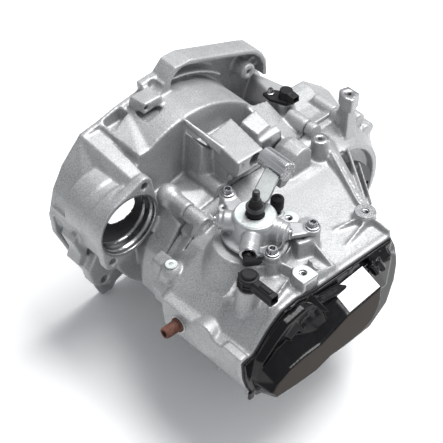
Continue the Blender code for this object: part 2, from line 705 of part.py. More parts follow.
def build_input():
    to_output = heading(INPUT_YZ, OUTPUT_YZ)
    to_idler = heading(INPUT_YZ, IDLER_YZ)
    shaft = turned(
        "input_shaft",
        [(-236, 0), (-236, 8), (-233, 11), (-206, 11), (-205, 12), (-151, 12), (-150.6, 14),
         (-111, 14), (-110, 11.8), (-88, 11.8), (-87, 14), (-34, 14), (37.6, 14), (37.6, 13),
         (54, 13), (54.4, 13), (97, 13), (104, 10),
         (104, 0)],
        GEAR_STEEL, x_axis_point(INPUT_YZ), count=18)
    teeth = [
        pinion("is_first", INPUT_YZ, GEAR_PAIRS["1"][0], GEAR_MODULE, -108, -90, to_output),
        pinion("is_reverse", INPUT_YZ, REVERSE_TEETH[0], IDLER_MODULE, -84, -60, to_idler),
        pinion("is_second", INPUT_YZ, GEAR_PAIRS["2"][0], GEAR_MODULE, -54, -38, to_output),
    ]
    join(shaft, *teeth)
    bore = 14.0 + 2.4 * GAP
    gear("input_gear_3", INPUT_YZ, GEAR_PAIRS["3"][0], GEAR_MODULE, -30, -14, bore, to_output,
         [(-6.5, 24.0)])
    gear("input_gear_4", INPUT_YZ, GEAR_PAIRS["4"][0], GEAR_MODULE, 20.5, 36.5, bore, to_output,
         [(12.5, 24.0)])
    gear("input_gear_5", INPUT_YZ, GEAR_PAIRS["5"][0], GEAR_MODULE, 57, 71, bore, to_output,
         [(78.5, 24.0)])
    turned("hub_34", [(-4, 14.5), (-4, 24), (10, 24), (10, 14.5)], GEAR_STEEL,
           x_axis_point(INPUT_YZ), ring=True)
    turned("hub_5", [(80, 13.5), (80, 24), (92, 24), (92, 13.5)], GEAR_STEEL,
           x_axis_point(INPUT_YZ), ring=True)
    synchro_sleeve("sleeve_34", INPUT_YZ, 3.0, 16.0)
    synchro_sleeve("sleeve_5", INPUT_YZ, 86.0, 12.0)
    turned("input_shaft_nut", [(93.5, 13.5), (93.5, 20), (99, 20), (99, 13.5)], DARK_STEEL,
           x_axis_point(INPUT_YZ), count=12, ring=True)


def synchro_sleeve(name, yz, middle, width):
    """Sliding sleeve with an outer groove for its fork."""
    half = 0.5 * width
    groove = 4.2 if width > 14 else 3.4
    profile = [(middle - half, 24.6), (middle - half, 36), (middle - groove, 36),
               (middle - groove, 31), (middle + groove, 31), (middle + groove, 36),
               (middle + half, 36), (middle + half, 24.6)]
    turned(name, profile, GEAR_STEEL, x_axis_point(yz), count=20, ring=True,
           origin=x_axis_point(yz, middle))


def build_output():
    to_input = heading(OUTPUT_YZ, INPUT_YZ)
    to_diff = heading(OUTPUT_YZ, DIFF_YZ)
    shaft = turned(
        "output_shaft",
        [(-162, 0), (-162, 14), (-150, 14), (-149.6, 17), (38, 17), (38, 14), (73, 14),
         (76, 11), (76, 0)],
        GEAR_STEEL, x_axis_point(OUTPUT_YZ))
    join(shaft, pinion("os_final", OUTPUT_YZ, FINAL_TEETH[0], FINAL_MODULE, -143, -113, to_diff))

    def mesh_phase(speed):
        return to_input + math.pi / GEAR_PAIRS[speed][1]

    loose = 17.0 + 2.0 * GAP
    gear("output_gear_1", OUTPUT_YZ, GEAR_PAIRS["1"][1], GEAR_MODULE, -107, -91, loose,
         mesh_phase("1"), [(-80.5, 24.0)])
    gear("output_gear_2", OUTPUT_YZ, GEAR_PAIRS["2"][1], GEAR_MODULE, -53, -39, loose,
         mesh_phase("2"), [(-61.5, 24.0)])
    gear("output_gear_3", OUTPUT_YZ, GEAR_PAIRS["3"][1], GEAR_MODULE, -29, -15, loose,
         mesh_phase("3"))
    gear("output_gear_4", OUTPUT_YZ, GEAR_PAIRS["4"][1], GEAR_MODULE, 21.5, 35.5, loose,
         mesh_phase("4"))
    gear("output_gear_5", OUTPUT_YZ, GEAR_PAIRS["5"][1], GEAR_MODULE, 58, 70, 14.0 + 2.0 * GAP,
         mesh_phase("5"))
    turned("hub_12", [(-78, 17.5), (-78, 24), (-64, 24), (-64, 17.5)], GEAR_STEEL,
           x_axis_point(OUTPUT_YZ), ring=True)
    synchro_sleeve("sleeve_12", OUTPUT_YZ, -71.0, 16.0)


def build_reverse():
    to_input = heading(IDLER_YZ, INPUT_YZ)
    gear("reverse_idler", IDLER_YZ, REVERSE_TEETH[1], IDLER_MODULE, -82, -66, 7.9,
         to_input + math.pi / REVERSE_TEETH[1])
    x_round("idler_shaft", IDLER_YZ, -157.5, -44, 7.0, STEEL, 16)


def build_differential():
    from_output = heading(DIFF_YZ, OUTPUT_YZ)
    centre = x_axis_point(DIFF_YZ, DIFF_X)
    verts, faces = gear_data(DIFF_YZ, FINAL_TEETH[1], FINAL_MODULE, -142, -114, 52.6,
                             from_output + math.pi / FINAL_TEETH[1])
    add_object("crown_wheel", verts, faces, GEAR_STEEL, centre)
    case = turned(
        "diff_case",
        [(-177, 14.6), (-177, 21.6), (-156, 21.6), (-156, 30), (-152, 46), (-142, 52),
         (-113.7, 52), (-113.7, 62), (-109, 62), (-108, 45), (-95, 44), (-92, 30),
         (-92, 21.6), (-71, 21.6), (-71, 14.6)],
        CAST_IRON, x_axis_point(DIFF_YZ), count=24, ring=True, origin=centre)
    carve(
        case,
        x_round("dc_hollow", DIFF_YZ, DIFF_X - 26.5, DIFF_X + 26.5, 39, count=24),
        cylinder("dc_pin_hole", (DIFF_X, DIFF_YZ[0], DIFF_YZ[1] - 60), (0, 0, 1), 120, 6.9,
                 count=10),
    )
    cylinder("diff_pin", (DIFF_X, DIFF_YZ[0], DIFF_YZ[1] - 50), (0, 0, 1), 100, 6.5, STEEL, 10)
    side_cone = math.atan2(SIDE_TEETH, SPIDER_TEETH)
    spider_cone = 0.5 * math.pi - side_cone
    half_spider = math.pi / SPIDER_TEETH
    for name, direction, teeth, cone, phase, bore, back in (
        ("side_gear_left", (-1, 0, 0), SIDE_TEETH, side_cone, 0.0, 14.8, 5.0),
        ("side_gear_right", (1, 0, 0), SIDE_TEETH, side_cone, 0.0, 14.8, 5.0),
        ("spider_gear_upper", (0, 0, 1), SPIDER_TEETH, spider_cone, half_spider, 7.3, 4.0),
        ("spider_gear_lower", (0, 0, -1), SPIDER_TEETH, spider_cone, half_spider, 7.3, 4.0),
    ):
        verts, faces = bevel_gear_data(teeth, cone, phase, centre, direction, bore, back)
        add_object(name, verts, faces, GEAR_STEEL, centre)
    for name, profile in (
        ("drive_flange_left",
         [(-145, 0), (-145, 14), (-180, 14), (-180, 24.3), (-212, 24.3), (-212, 40), (-222, 40),
          (-222, 18), (-219, 14), (-219, 0)]),
        ("drive_flange_right",
         [(-105, 0), (-105, 14), (-68, 14), (-68, 24.3), (-54, 24.3), (-54, 50), (-44, 50),
          (-44, 24), (-48, 18), (-48, 0)]),
    ):
        flange = turned(name, profile, DARK_STEEL, x_axis_point(DIFF_YZ), count=24)
        x_disc = profile[5][0]
        reach = profile[5][1] - 8.0
        holes = [
            cylinder("%s_hole_%d" % (name, i),
                     (x_disc - 14, DIFF_YZ[0] + reach * math.cos(math.tau * i / 6),
                      DIFF_YZ[1] + reach * math.sin(math.tau * i / 6)),
                     (1, 0, 0), 28, 4.2, count=6)
            for i in range(6)
        ]
        carve(flange, *holes)


def build_bearings():
    for name, yz, x0, x1, inner, outer in (
        ("input_bearing_front", INPUT_YZ, -163, -151, 12.3, 25.7),
        ("input_bearing_rear", INPUT_YZ, 41, 53, 13.3, 27.7),
        ("output_bearing_front", OUTPUT_YZ, -161.5, -151, 14.3, 30.7),
        ("output_bearing_rear", OUTPUT_YZ, 41, 53, 14.3, 27.7),
        ("diff_bearing_left", DIFF_YZ, -176, -158, 21.9, 34.7),
        ("diff_bearing_right", DIFF_YZ, -87, -72, 21.9, 34.7),
    ):
        turned(name, [(x0, inner), (x0, outer), (x1, outer), (x1, inner)], STEEL,
               x_axis_point(yz), ring=True, count=20)


# ---------------------------------------------------------------- shift mechanism

FINGER_REACH = 32.8


def build_selector():
    turned("selector_shaft",
           [(-88, 0), (-88, 6), (-86, 8), (22, 8), (24, 5), (34, 5), (36, 4), (36, 0)],
           DARK_STEEL, (0, 0, 0), (0, 0, 1))
    finger = turned("selector_finger", [(-86, 8.3), (-86, 10.5), (-74, 10.5), (-74, 8.3)],
                    GEAR_STEEL, (0, 0, 0), (0, 0, 1), ring=True)
    join(
        finger,
        block("sf_arm", (-2.4, 2.4), (-30.5, -9), (-86, -78), GEAR_STEEL),
        cylinder("sf_tip", (0, -FINGER_REACH, -86), (0, 0, 1), 8, 3.1, GEAR_STEEL, 12),
    )
    turned("selector_collar", [(1.2, 8.3), (1.2, 10.6), (8, 10.6), (8, 8.3)], STEEL,
           (0, 0, 0), (0, 0, 1), ring=True)
    turned("selector_boot",
           [(16.4, 8.3), (16.4, 11.5), (18, 12.5), (19.5, 10.5), (21, 11.5), (23, 9.5),
            (23, 8.3)],
           RUBBER, (0, 0, 0), (0, 0, 1), ring=True)
    direction = Vector((-28.0, 61.0)).normalized()
    across = Vector((-direction.y, direction.x))

    def lever_point(along, side, z):
        point = direction * along + across * side
        return (point.x, point.y, z)

    lever_rings = []
    for along, half, low, high in ((9.5, 11, 8.6, 13.6), (26, 11, 12, 17), (52, 10, 17, 22),
                                   (64, 10, 19, 24)):
        lever_rings.append([lever_point(along, -half, low), lever_point(along, half, low),
                            lever_point(along, half, high), lever_point(along, -half, high)])
    lever = add_object("shift_lever", *loft_data(lever_rings), STEEL, (0, 0, 0))
    join(lever, cylinder("sl_hub", (0, 0, 8.4), (0, 0, 1), 7.6, 14, STEEL))
    carve(lever, cylinder("sl_bore", (0, 0, 0), (0, 0, 1), 30, 8.3),
          x_round("sl_seat", (61, 22), -60, 20, 12.8, count=24))
    weight = turned("counterweight", [(-50, 11.5), (-48.5, 12.5), (-10, 12.5), (-8.5, 11.5)],
                    STEEL, (0, 61, 22), (1, 0, 0), count=24)
    join(weight, block("cw_foot", (-20, -10), (52, 62), (2, 20), STEEL))


def fork(name, yz, x_plate, width, middle, spread, rod_yz, rod_x, extras=()):
    """C-shaped fork in a sleeve's groove, carried on a rod along X."""
    inner, outer = 31.6, 42.0
    arc = []
    steps = 10
    for i in range(steps + 1):
        a = middle - spread + 2.0 * spread * i / steps
        arc.append((yz[0] + outer * math.cos(a), yz[1] + outer * math.sin(a)))
    for i in range(steps + 1):
        a = middle + spread - 2.0 * spread * i / steps
        arc.append((yz[0] + inner * math.cos(a), yz[1] + inner * math.sin(a)))
    plate = prism(name, arc, x_plate - 0.5 * width, x_plate + 0.5 * width, CAST_IRON)
    direction = Vector(rod_yz) - Vector(yz)
    length = direction.length
    direction.normalize()
    side = Vector((-direction.y, direction.x))
    start = Vector(yz) + direction * 37.0
    end = Vector(yz) + direction * length
    strap = [tuple(start + side * 13), tuple(start - side * 13), tuple(end - side * 7),
             tuple(end + side * 7)]
    join(
        plate,
        prism(name + "_strap", strap, x_plate - 0.5 * width, x_plate + 0.5 * width, CAST_IRON),
        x_round(name + "_boss", rod_yz, x_plate - 9, x_plate + 9, 11, CAST_IRON, 10),
        x_round(name + "_rod", rod_yz, rod_x[0], rod_x[1], 6.8, CAST_IRON, 12),
        *extras,
    )
    return plate


def build_forks():
    rod_12 = (170.0, -95.0)
    rod_34 = (-33.0, -118.0)
    fork("fork_12", OUTPUT_YZ, -71.0, 6.0, heading(OUTPUT_YZ, rod_12), math.radians(86), rod_12,
         (-83, 20),
         [block("f12_lug", (-6, 6), (158, 170), (-99, -91), CAST_IRON)])
    jaw = block("f34_jaw", (-10, 10), (-38, -29), (-86, -78), CAST_IRON)
    fork("fork_34", INPUT_YZ, 3.0, 6.0, heading(INPUT_YZ, rod_34), math.radians(86), rod_34,
         (-60, 30),
         [block("f34_post", (-6, 6), (-40, -34.5), (-118, -78), CAST_IRON), jaw])
    carve(bpy.data.objects["fork_34"],
          block("f34_slot", (-3.7, 3.7), (-36.8, -20), (-98, -70), CAST_IRON))
    fork("fork_5", INPUT_YZ, 86.0, 5.0, heading(INPUT_YZ, ROD_5_YZ), math.radians(70), ROD_5_YZ,
         (18, 90))


def build_release():
    turned("guide_sleeve",
           [(-206, 12.8), (-206, 15.5), (-167, 15.5), (-167, 30), (-163.3, 30),
            (-163.3, 12.8)],
           STEEL, x_axis_point(INPUT_YZ), count=24, ring=True)
    turned("release_bearing",
           [(-204, 16), (-204, 32), (-201, 34), (-194, 34), (-194, 20), (-185.5, 20),
            (-185.5, 16)],
           STEEL, x_axis_point(INPUT_YZ), count=24, ring=True)
    along = Vector((0.588, 0.809))
    across = Vector((-along.y, along.x))
    centre = Vector(INPUT_YZ)
    outline = [
        tuple(centre + along * a + across * b)
        for a, b in ((-60, -9), (-60, 9), (-30, 22), (0, 30), (30, 24), (56, 10), (86, 9),
                     (86, -9), (56, -10), (30, -24), (0, -30), (-30, -22))
    ]
    lever = prism("release_lever", outline, -182.5, -177.5, DARK_STEEL)
    carve(lever, x_round("rl_hole", INPUT_YZ, -190, -170, 18.5, count=24))


# ---------------------------------------------------------------- attached parts

def build_attachments():
    switch = cylinder("reverse_switch", (50, -56, -41.5), (0, 0, 1), 18, 12.0, PLASTIC, 24)
    join(
        switch,
        cylinder("rs_stem", (50, -56, -66), (0, 0, 1), 30, 6.5, PLASTIC, 16),
        cylinder("rs_cap", (50, -56, -24), (0, 0, 1), 7, 12.0, PLASTIC, 24, top=8.5),
        block("rs_plug", (54, 92), (-63, -49), (-39, -25), PLASTIC),
    )
    carve(switch, block("rs_socket", (80, 94), (-61, -51), (-37, -27), PLASTIC))
    vent = cylinder("vent_cap", (-13, 50, -60), (0, 0, 1), 32, 3.7, PLASTIC, 12)
    join(vent, cylinder("vc_cap", (-13, 50, -30), (0, 0, 1), 16, 8.5, PLASTIC, 20, top=8.0))
    plug = cylinder("drain_plug", (-14, -84, -124), (0, -1, 0), 30, 5.7, RUST, 12)
    join(plug, cylinder("dp_head", (-14, -104.4, -124), (0, -1, 0), 22, 8.0, RUST, 16, top=7.2))
    carve(plug, cylinder("dp_socket", (-14, -116, -124), (0, -1, 0), 20, 4.6, RUST, 8))
    sensor = cylinder("speed_sensor", (-146, 196, -50), (0, 0, 1), 30, 8.0, PLASTIC, 16)
    plate = [(-172, 180), (-158, 181), (-136, 190), (-136, 204), (-150, 208), (-170, 194)]
    join(
        sensor,
        add_object("ss_plate", *loft_data([[(x, y, -23.6) for x, y in plate],
                                           [(x, y, -18) for x, y in plate]]), PLASTIC),
        block("ss_plug", (-150, -128), (190, 204), (-20, -7), PLASTIC),
    )


build_clutch_housing()
build_gear_casing()
build_covers()
build_selector_housing()
build_input()
build_output()
build_reverse()
build_differential()
build_bearings()
build_selector()
build_forks()
build_release()
build_attachments()
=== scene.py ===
"""Looks of the transverse manual transmission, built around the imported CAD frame."""
import math

import bmesh
import bpy
import numpy as np
from mathutils import Matrix, Vector
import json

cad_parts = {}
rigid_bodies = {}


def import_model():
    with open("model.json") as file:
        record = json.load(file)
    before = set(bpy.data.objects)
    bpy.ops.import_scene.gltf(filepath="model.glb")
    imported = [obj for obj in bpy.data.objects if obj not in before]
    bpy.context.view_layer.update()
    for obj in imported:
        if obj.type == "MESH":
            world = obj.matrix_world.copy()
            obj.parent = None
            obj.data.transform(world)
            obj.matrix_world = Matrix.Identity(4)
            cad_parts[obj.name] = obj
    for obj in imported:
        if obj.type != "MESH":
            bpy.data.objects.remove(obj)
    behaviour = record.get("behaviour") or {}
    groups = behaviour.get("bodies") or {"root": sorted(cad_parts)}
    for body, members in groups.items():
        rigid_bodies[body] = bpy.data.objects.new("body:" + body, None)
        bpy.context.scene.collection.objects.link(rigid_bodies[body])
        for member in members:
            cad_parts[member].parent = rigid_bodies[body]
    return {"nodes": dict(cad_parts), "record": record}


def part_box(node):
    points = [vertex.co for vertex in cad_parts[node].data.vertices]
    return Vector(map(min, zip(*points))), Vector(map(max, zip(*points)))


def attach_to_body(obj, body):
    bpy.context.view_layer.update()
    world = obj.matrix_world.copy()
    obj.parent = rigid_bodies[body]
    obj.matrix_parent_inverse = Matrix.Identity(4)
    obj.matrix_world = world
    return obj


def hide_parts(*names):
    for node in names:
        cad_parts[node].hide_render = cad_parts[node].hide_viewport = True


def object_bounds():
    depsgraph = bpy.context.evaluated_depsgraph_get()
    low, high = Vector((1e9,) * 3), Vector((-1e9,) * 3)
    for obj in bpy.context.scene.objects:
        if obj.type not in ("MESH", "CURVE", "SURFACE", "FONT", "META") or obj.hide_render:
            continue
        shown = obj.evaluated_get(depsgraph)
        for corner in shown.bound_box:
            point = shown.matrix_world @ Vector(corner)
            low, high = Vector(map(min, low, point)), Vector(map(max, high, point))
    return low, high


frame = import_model()
CAD_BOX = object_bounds()

MM = 0.001
shaft_low, shaft_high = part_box("selector_shaft")
SHAFT_TOP = 36.0
# The design frame is in millimetres: X along the shafts, Y towards the differential,
# Z up along the selector shaft, with the origin at the centre of the selector housing's top.
SHIFT = Vector((
    0.5 * (shaft_low[0] + shaft_high[0]),
    0.5 * (shaft_low[1] + shaft_high[1]),
    shaft_high[2] - SHAFT_TOP * MM,
))

INPUT = (50.0, -110.0)
DIFF = (214.0, -134.0)
STARTER = (-80.0, -62.0)
X_STARTER = -130.0
X_ENGINE = -240.0
X_WALL = -160.0
X_JOINT = -97.0
X_COVER = 92.0
ORIGIN = (0, 0, 0)
UP = (0, 0, 1)


# ---------------------------------------------------------------- camera, floor and lights

def place_camera():
    right = Vector((0.678174, 0.734468, 0.025231))
    up = Vector((-0.520126, 0.455439, 0.722527))
    back = Vector((0.519182, -0.503122, 0.690882))
    data = bpy.data.cameras.new("camera")
    data.lens = 106.37
    data.sensor_width = 36.0
    data.clip_end = 50.0
    camera = bpy.data.objects.new("camera", data)
    turn = Matrix((right, up, back)).transposed().to_4x4()
    eye = Vector((757.209, -786.792, 1029.145))
    turn.translation = eye * MM + SHIFT
    camera.matrix_world = turn
    bpy.context.scene.collection.objects.link(camera)
    bpy.context.scene.camera = camera


def aim(obj, target):
    direction = Vector(target) - obj.location
    obj.rotation_euler = direction.to_track_quat("-Z", "Y").to_euler()


def area_light(name, position, size, power):
    data = bpy.data.lights.new(name, "AREA")
    data.shape = "RECTANGLE"
    data.size = size[0]
    data.size_y = size[1]
    data.energy = power
    lamp = bpy.data.objects.new(name, data)
    lamp.location = position
    aim(lamp, (0.0, 0.0, 0.15))
    bpy.context.scene.collection.objects.link(lamp)


def build_stage():
    world = bpy.data.worlds.new("studio")
    world.use_nodes = True
    background = world.node_tree.nodes["Background"]
    background.inputs[0].default_value = (0.93, 0.96, 1.0, 1.0)
    background.inputs[1].default_value = 0.5
    bpy.context.scene.world = world
    bpy.context.scene.view_settings.view_transform = "Standard"
    area_light("key", (0.1, 0.55, 2.0), (1.5, 1.2), 62.0)
    area_light("edge", (0.9, 1.6, 0.9), (0.25, 1.0), 6.0)
    mesh = bpy.data.meshes.new("floor")
    size = 6.0
    mesh.from_pydata([(-size, -size, 0), (size, -size, 0), (size, size, 0), (-size, size, 0)],
                     [], [(0, 1, 2, 3)])
    floor = bpy.data.objects.new("floor", mesh)
    bpy.context.scene.collection.objects.link(floor)
    mesh.materials.append(plain_material("floor_paper", (0.97, 0.97, 0.97), 0.95))


# ---------------------------------------------------------------- materials

def plain_material(name, colour, roughness, metallic=0.0):
    mat = bpy.data.materials.new(name)
    mat.use_nodes = True
    shader = mat.node_tree.nodes["Principled BSDF"]
    shader.inputs["Base Color"].default_value = (*colour, 1.0)
    shader.inputs["Metallic"].default_value = metallic
    shader.inputs["Roughness"].default_value = roughness
    return mat


def surface(name, dark, light, metallic, rough, grain=900.0, bump=0.15, blotch=35.0,
            speckle=0.0, stretch=None, specular=0.5):
    """Metal, plastic or enamel: two-colour mottling, fine grain and a grainy bump."""
    mat = plain_material(name, light, rough[0], metallic)
    tree = mat.node_tree
    shader = tree.nodes["Principled BSDF"]
    shader.inputs["Specular IOR Level"].default_value = specular

    def node(kind, **inputs):
        made = tree.nodes.new(kind)
        for key, value in inputs.items():
            made.inputs[key].default_value = value
        return made

    coords = tree.nodes.new("ShaderNodeTexCoord")
    source = coords.outputs["Object"]
    if stretch:
        mapping = node("ShaderNodeMapping", Scale=stretch)
        tree.links.new(source, mapping.inputs["Vector"])
        source = mapping.outputs["Vector"]
    large = node("ShaderNodeTexNoise", Scale=blotch, Detail=5.0, Roughness=0.65)
    fine = node("ShaderNodeTexNoise", Scale=grain, Detail=3.0, Roughness=0.6)
    tree.links.new(coords.outputs["Object"], large.inputs["Vector"])
    tree.links.new(source, fine.inputs["Vector"])
    mixed = node("ShaderNodeMix")
    mixed.data_type = "FLOAT"
    mixed.inputs[0].default_value = 0.45 + speckle
    tree.links.new(large.outputs["Fac"], mixed.inputs[2])
    tree.links.new(fine.outputs["Fac"], mixed.inputs[3])
    ramp = tree.nodes.new("ShaderNodeValToRGB")
    ramp.color_ramp.elements[0].position = 0.36
    ramp.color_ramp.elements[0].color = (*dark, 1.0)
    ramp.color_ramp.elements[1].position = 0.62
    ramp.color_ramp.elements[1].color = (*light, 1.0)
    tree.links.new(mixed.outputs[0], ramp.inputs["Fac"])
    tree.links.new(ramp.outputs["Color"], shader.inputs["Base Color"])
    spread = node("ShaderNodeMapRange")
    spread.inputs["From Min"].default_value = 0.35
    spread.inputs["From Max"].default_value = 0.65
    spread.inputs["To Min"].default_value = rough[0]
    spread.inputs["To Max"].default_value = rough[1]
    tree.links.new(mixed.outputs[0], spread.inputs["Value"])
    tree.links.new(spread.outputs["Result"], shader.inputs["Roughness"])
    if bump:
        relief = node("ShaderNodeBump", Strength=bump, Distance=0.0006)
        tree.links.new(fine.outputs["Fac"], relief.inputs["Height"])
        tree.links.new(relief.outputs["Normal"], shader.inputs["Normal"])
    return mat


CAST = surface("cast_aluminium", (0.26, 0.262, 0.265), (0.47, 0.473, 0.476), 0.55, (0.42, 0.56),
               grain=700.0, bump=0.22, blotch=30.0, speckle=0.35)
CAST_FINE = surface("fine_cast_aluminium", (0.27, 0.275, 0.28), (0.44, 0.445, 0.45), 0.6,
                    (0.34, 0.46), grain=1100.0, bump=0.2)
# Near-black copy of the casting: painted shade for the shadowed inside of the starter tube.
PAINTED_SHADE_CAST = surface("painted_shade_casting", (0.035, 0.035, 0.037), (0.08, 0.08, 0.083), 0.4,
                    (0.5, 0.7), grain=600.0, bump=0.3)
BRUSHED = surface("brushed_steel", (0.30, 0.30, 0.31), (0.66, 0.66, 0.67), 1.0, (0.16, 0.34),
                  grain=420.0, bump=0.03, blotch=8.0, speckle=0.1, stretch=(0.03, 1.0, 1.0))
LEVER_GREY = surface("lever_steel", (0.12, 0.125, 0.125), (0.2, 0.21, 0.21), 0.7, (0.3, 0.42),
                     grain=700.0, bump=0.1)
# Darker copy of the steel: painted shade for the foot under the counterweight.
PAINTED_SHADE_STEEL = surface("painted_shade_steel", (0.16, 0.16, 0.165), (0.28, 0.28, 0.285), 0.8, (0.35, 0.5),
                    grain=700.0, bump=0.15)
MACHINED = surface("milled_aluminium", (0.34, 0.345, 0.35), (0.48, 0.485, 0.49), 1.0,
                   (0.22, 0.36), grain=1400.0, bump=0.08)
ZINC = surface("zinc_washer", (0.36, 0.39, 0.385), (0.60, 0.64, 0.63), 0.45, (0.4, 0.52),
               grain=700.0, bump=0.1)
ENAMEL = surface("black_enamel", (0.002, 0.002, 0.0025), (0.005, 0.005, 0.0055), 0.0,
                 (0.18, 0.26), grain=350.0, bump=0.05, specular=0.24)
# Brownish black enamel: a painted reflection of the floor on the cover's end face.
PAINTED_REFLECTION_ENAMEL = surface("enamel_painted_floor_reflection", (0.016, 0.011, 0.008), (0.030, 0.021, 0.015), 0.0,
                      (0.4, 0.5), grain=350.0, bump=0.05, specular=0.08)
STEEL = surface("turned_steel", (0.24, 0.24, 0.25), (0.42, 0.42, 0.43), 1.0, (0.2, 0.34),
                grain=900.0, bump=0.1, stretch=(0.12, 1.0, 1.0))
GEAR = surface("gear_steel", (0.30, 0.30, 0.31), (0.42, 0.42, 0.43), 1.0, (0.25, 0.4),
               grain=900.0, bump=0.05)
DARK_STEEL = surface("phosphated_steel", (0.03, 0.03, 0.032), (0.075, 0.075, 0.08), 0.7,
                     (0.35, 0.55), grain=800.0, bump=0.2)
IRON = surface("cast_iron", (0.12, 0.12, 0.125), (0.2, 0.2, 0.21), 0.7, (0.5, 0.7),
               grain=500.0, bump=0.4)
PLASTIC = surface("black_plastic", (0.007, 0.007, 0.008), (0.014, 0.014, 0.015), 0.0,
                  (0.42, 0.55), grain=1500.0, bump=0.15, specular=0.2)
RUBBER = surface("black_rubber", (0.01, 0.01, 0.01), (0.02, 0.02, 0.02), 0.0, (0.6, 0.75),
                 grain=900.0, bump=0.2, specular=0.2)
RUST = surface("rusty_steel", (0.05, 0.018, 0.012), (0.17, 0.062, 0.04), 0.15, (0.65, 0.85),
               grain=450.0, bump=0.5, blotch=120.0)
SEALANT = surface("gasket_fibre", (0.02, 0.02, 0.022), (0.045, 0.045, 0.047), 0.0,
                  (0.7, 0.85), grain=900.0, bump=0.2)
LABEL = surface("label_paper", (0.80, 0.81, 0.82), (0.90, 0.91, 0.92), 0.0, (0.45, 0.55),
                grain=600.0, bump=0.02)

NODE_LOOKS = {
    "cast_aluminium": CAST, "black_enamel_steel": ENAMEL, "turned_steel": STEEL,
    "gear_steel": GEAR, "phosphated_steel": DARK_STEEL, "black_plastic": PLASTIC,
    "black_rubber": RUBBER, "rusty_steel": RUST, "gasket_fibre": SEALANT, "cast_iron": IRON,
}


def dress_nodes():
    """Every CAD node gets the finish of its material slot."""
    for entry in frame["record"]["subparts"]:
        obj = frame["nodes"][entry["node"]]
        obj.data.materials.clear()
        obj.data.materials.append(NODE_LOOKS[entry["material_slot"]])


# ---------------------------------------------------------------- shape data, in millimetres

def loft_data(rings):
    """Closed body through rings of equal length."""
    count = len(rings[0])
    verts = [tuple(p) for ring in rings for p in ring]
    faces = [list(range(count))[::-1]]
    for level in range(len(rings) - 1):
        start = level * count
        for i in range(count):
            j = (i + 1) % count
            faces.append([start + i, start + j, start + count + j, start + count + i])
    faces.append([(len(rings) - 1) * count + i for i in range(count)])
    return verts, faces


def loft(stations):
    """Body through (X, outline) stations, an outline being (Y, Z) points."""
    return loft_data([[(x, y, z) for y, z in outline] for x, outline in stations])


def prism(outline, x0, x1):
    return loft([(x0, outline), (x1, outline)])


def plate(outline, z0, z1):
    """Flat body from (X, Y) points between two heights."""
    return loft_data([[(x, y, z) for x, y in outline] for z in (z0, z1)])


def box(x, y, z):
    return prism([(y[0], z[0]), (y[1], z[0]), (y[1], z[1]), (y[0], z[1])], x[0], x[1])


def turned(profile, centre, direction=(1, 0, 0), count=48, closed=False):
    """Body of revolution from (height, radius) points along the direction."""
    unit = Vector(direction).normalized()
    side = unit.orthogonal().normalized()
    other = unit.cross(side)
    base = Vector(centre)
    verts = []
    rows = []
    for h, r in profile:
        steps = 1 if r < 1e-6 else count
        rows.append(list(range(len(verts), len(verts) + steps)))
        for i in range(steps):
            a = math.tau * i / count
            verts.append(tuple(base + unit * h + (side * math.cos(a) + other * math.sin(a)) * r))
    faces = []
    pairs = list(zip(rows, rows[1:]))
    if closed:
        pairs.append((rows[-1], rows[0]))
    for lower, upper in pairs:
        for i in range(count):
            j = (i + 1) % count
            if len(lower) == 1 and len(upper) == 1:
                continue
            if len(lower) == 1:
                faces.append([lower[0], upper[j], upper[i]])
            elif len(upper) == 1:
                faces.append([lower[i], lower[j], upper[0]])
            else:
                faces.append([lower[i], lower[j], upper[j], upper[i]])
    if not closed:
        faces += [row for row in (rows[0], rows[-1]) if len(row) > 1]
    return verts, faces


def rod(start, direction, length, radius, top=None, count=40):
    return turned([(0, radius), (length, radius if top is None else top)], start, direction,
                  count)


def x_rod(yz, x0, x1, radius, count=40):
    return rod((x0, yz[0], yz[1]), (1, 0, 0), x1 - x0, radius, count=count)


def post(start, height, radius, top=None):
    """Upright rod."""
    return rod(start, UP, height, radius, top)


def hull(*points):
    """Convex body round the points."""
    bm = bmesh.new()
    for point in points:
        bm.verts.new(point)
    bmesh.ops.convex_hull(bm, input=bm.verts)
    bm.verts.index_update()
    loose = [v for v in bm.verts if not v.link_faces]
    bmesh.ops.delete(bm, geom=loose, context="VERTS")
    bm.verts.index_update()
    verts = [tuple(v.co) for v in bm.verts]
    faces = [[v.index for v in face.verts] for face in bm.faces]
    bm.free()
    return verts, faces


def rib(start, end, width, base, end_base=None):
    """Upright web under the line from start to end, down to the base heights."""
    a = Vector(start)
    b = Vector(end)
    side = Vector((-(b - a).y, (b - a).x, 0.0)).normalized() * 0.5 * width
    low = base if end_base is None else end_base
    points = []
    for point, foot in ((a, base), (b, low)):
        for sign in (-1.0, 1.0):
            top = point + side * sign
            points.append(tuple(top))
            points.append((top.x + side.x * sign * 0.5, top.y + side.y * sign * 0.5, foot))
    return hull(*points)


def dome(centre, radius):
    """Half ball on the centre point, with a short neck below."""
    steps = 8
    profile = [(-radius * 0.5, radius)]
    for i in range(steps):
        a = 0.5 * math.pi * i / steps
        profile.append((radius * math.sin(a), radius * math.cos(a)))
    profile.append((radius, 0.0))
    return turned(profile, centre, UP, 40)


# ---------------------------------------------------------------- objects

def new_object(name, data, mat, smooth=None):
    """Mesh object in world metres from design-frame millimetres."""
    mesh = bpy.data.meshes.new(name)
    bm = bmesh.new()
    verts = [bm.verts.new(Vector(v) * MM + SHIFT) for v in data[0]]
    for face in data[1]:
        bm.faces.new([verts[i] for i in face])
    bmesh.ops.recalc_face_normals(bm, faces=bm.faces)
    bm.to_mesh(mesh)
    bm.free()
    obj = bpy.data.objects.new(name, mesh)
    bpy.context.scene.collection.objects.link(obj)
    mesh.materials.append(mat)
    if smooth is not None:
        mesh.shade_smooth()
        mesh.set_sharp_from_angle(angle=math.radians(smooth))
    return obj


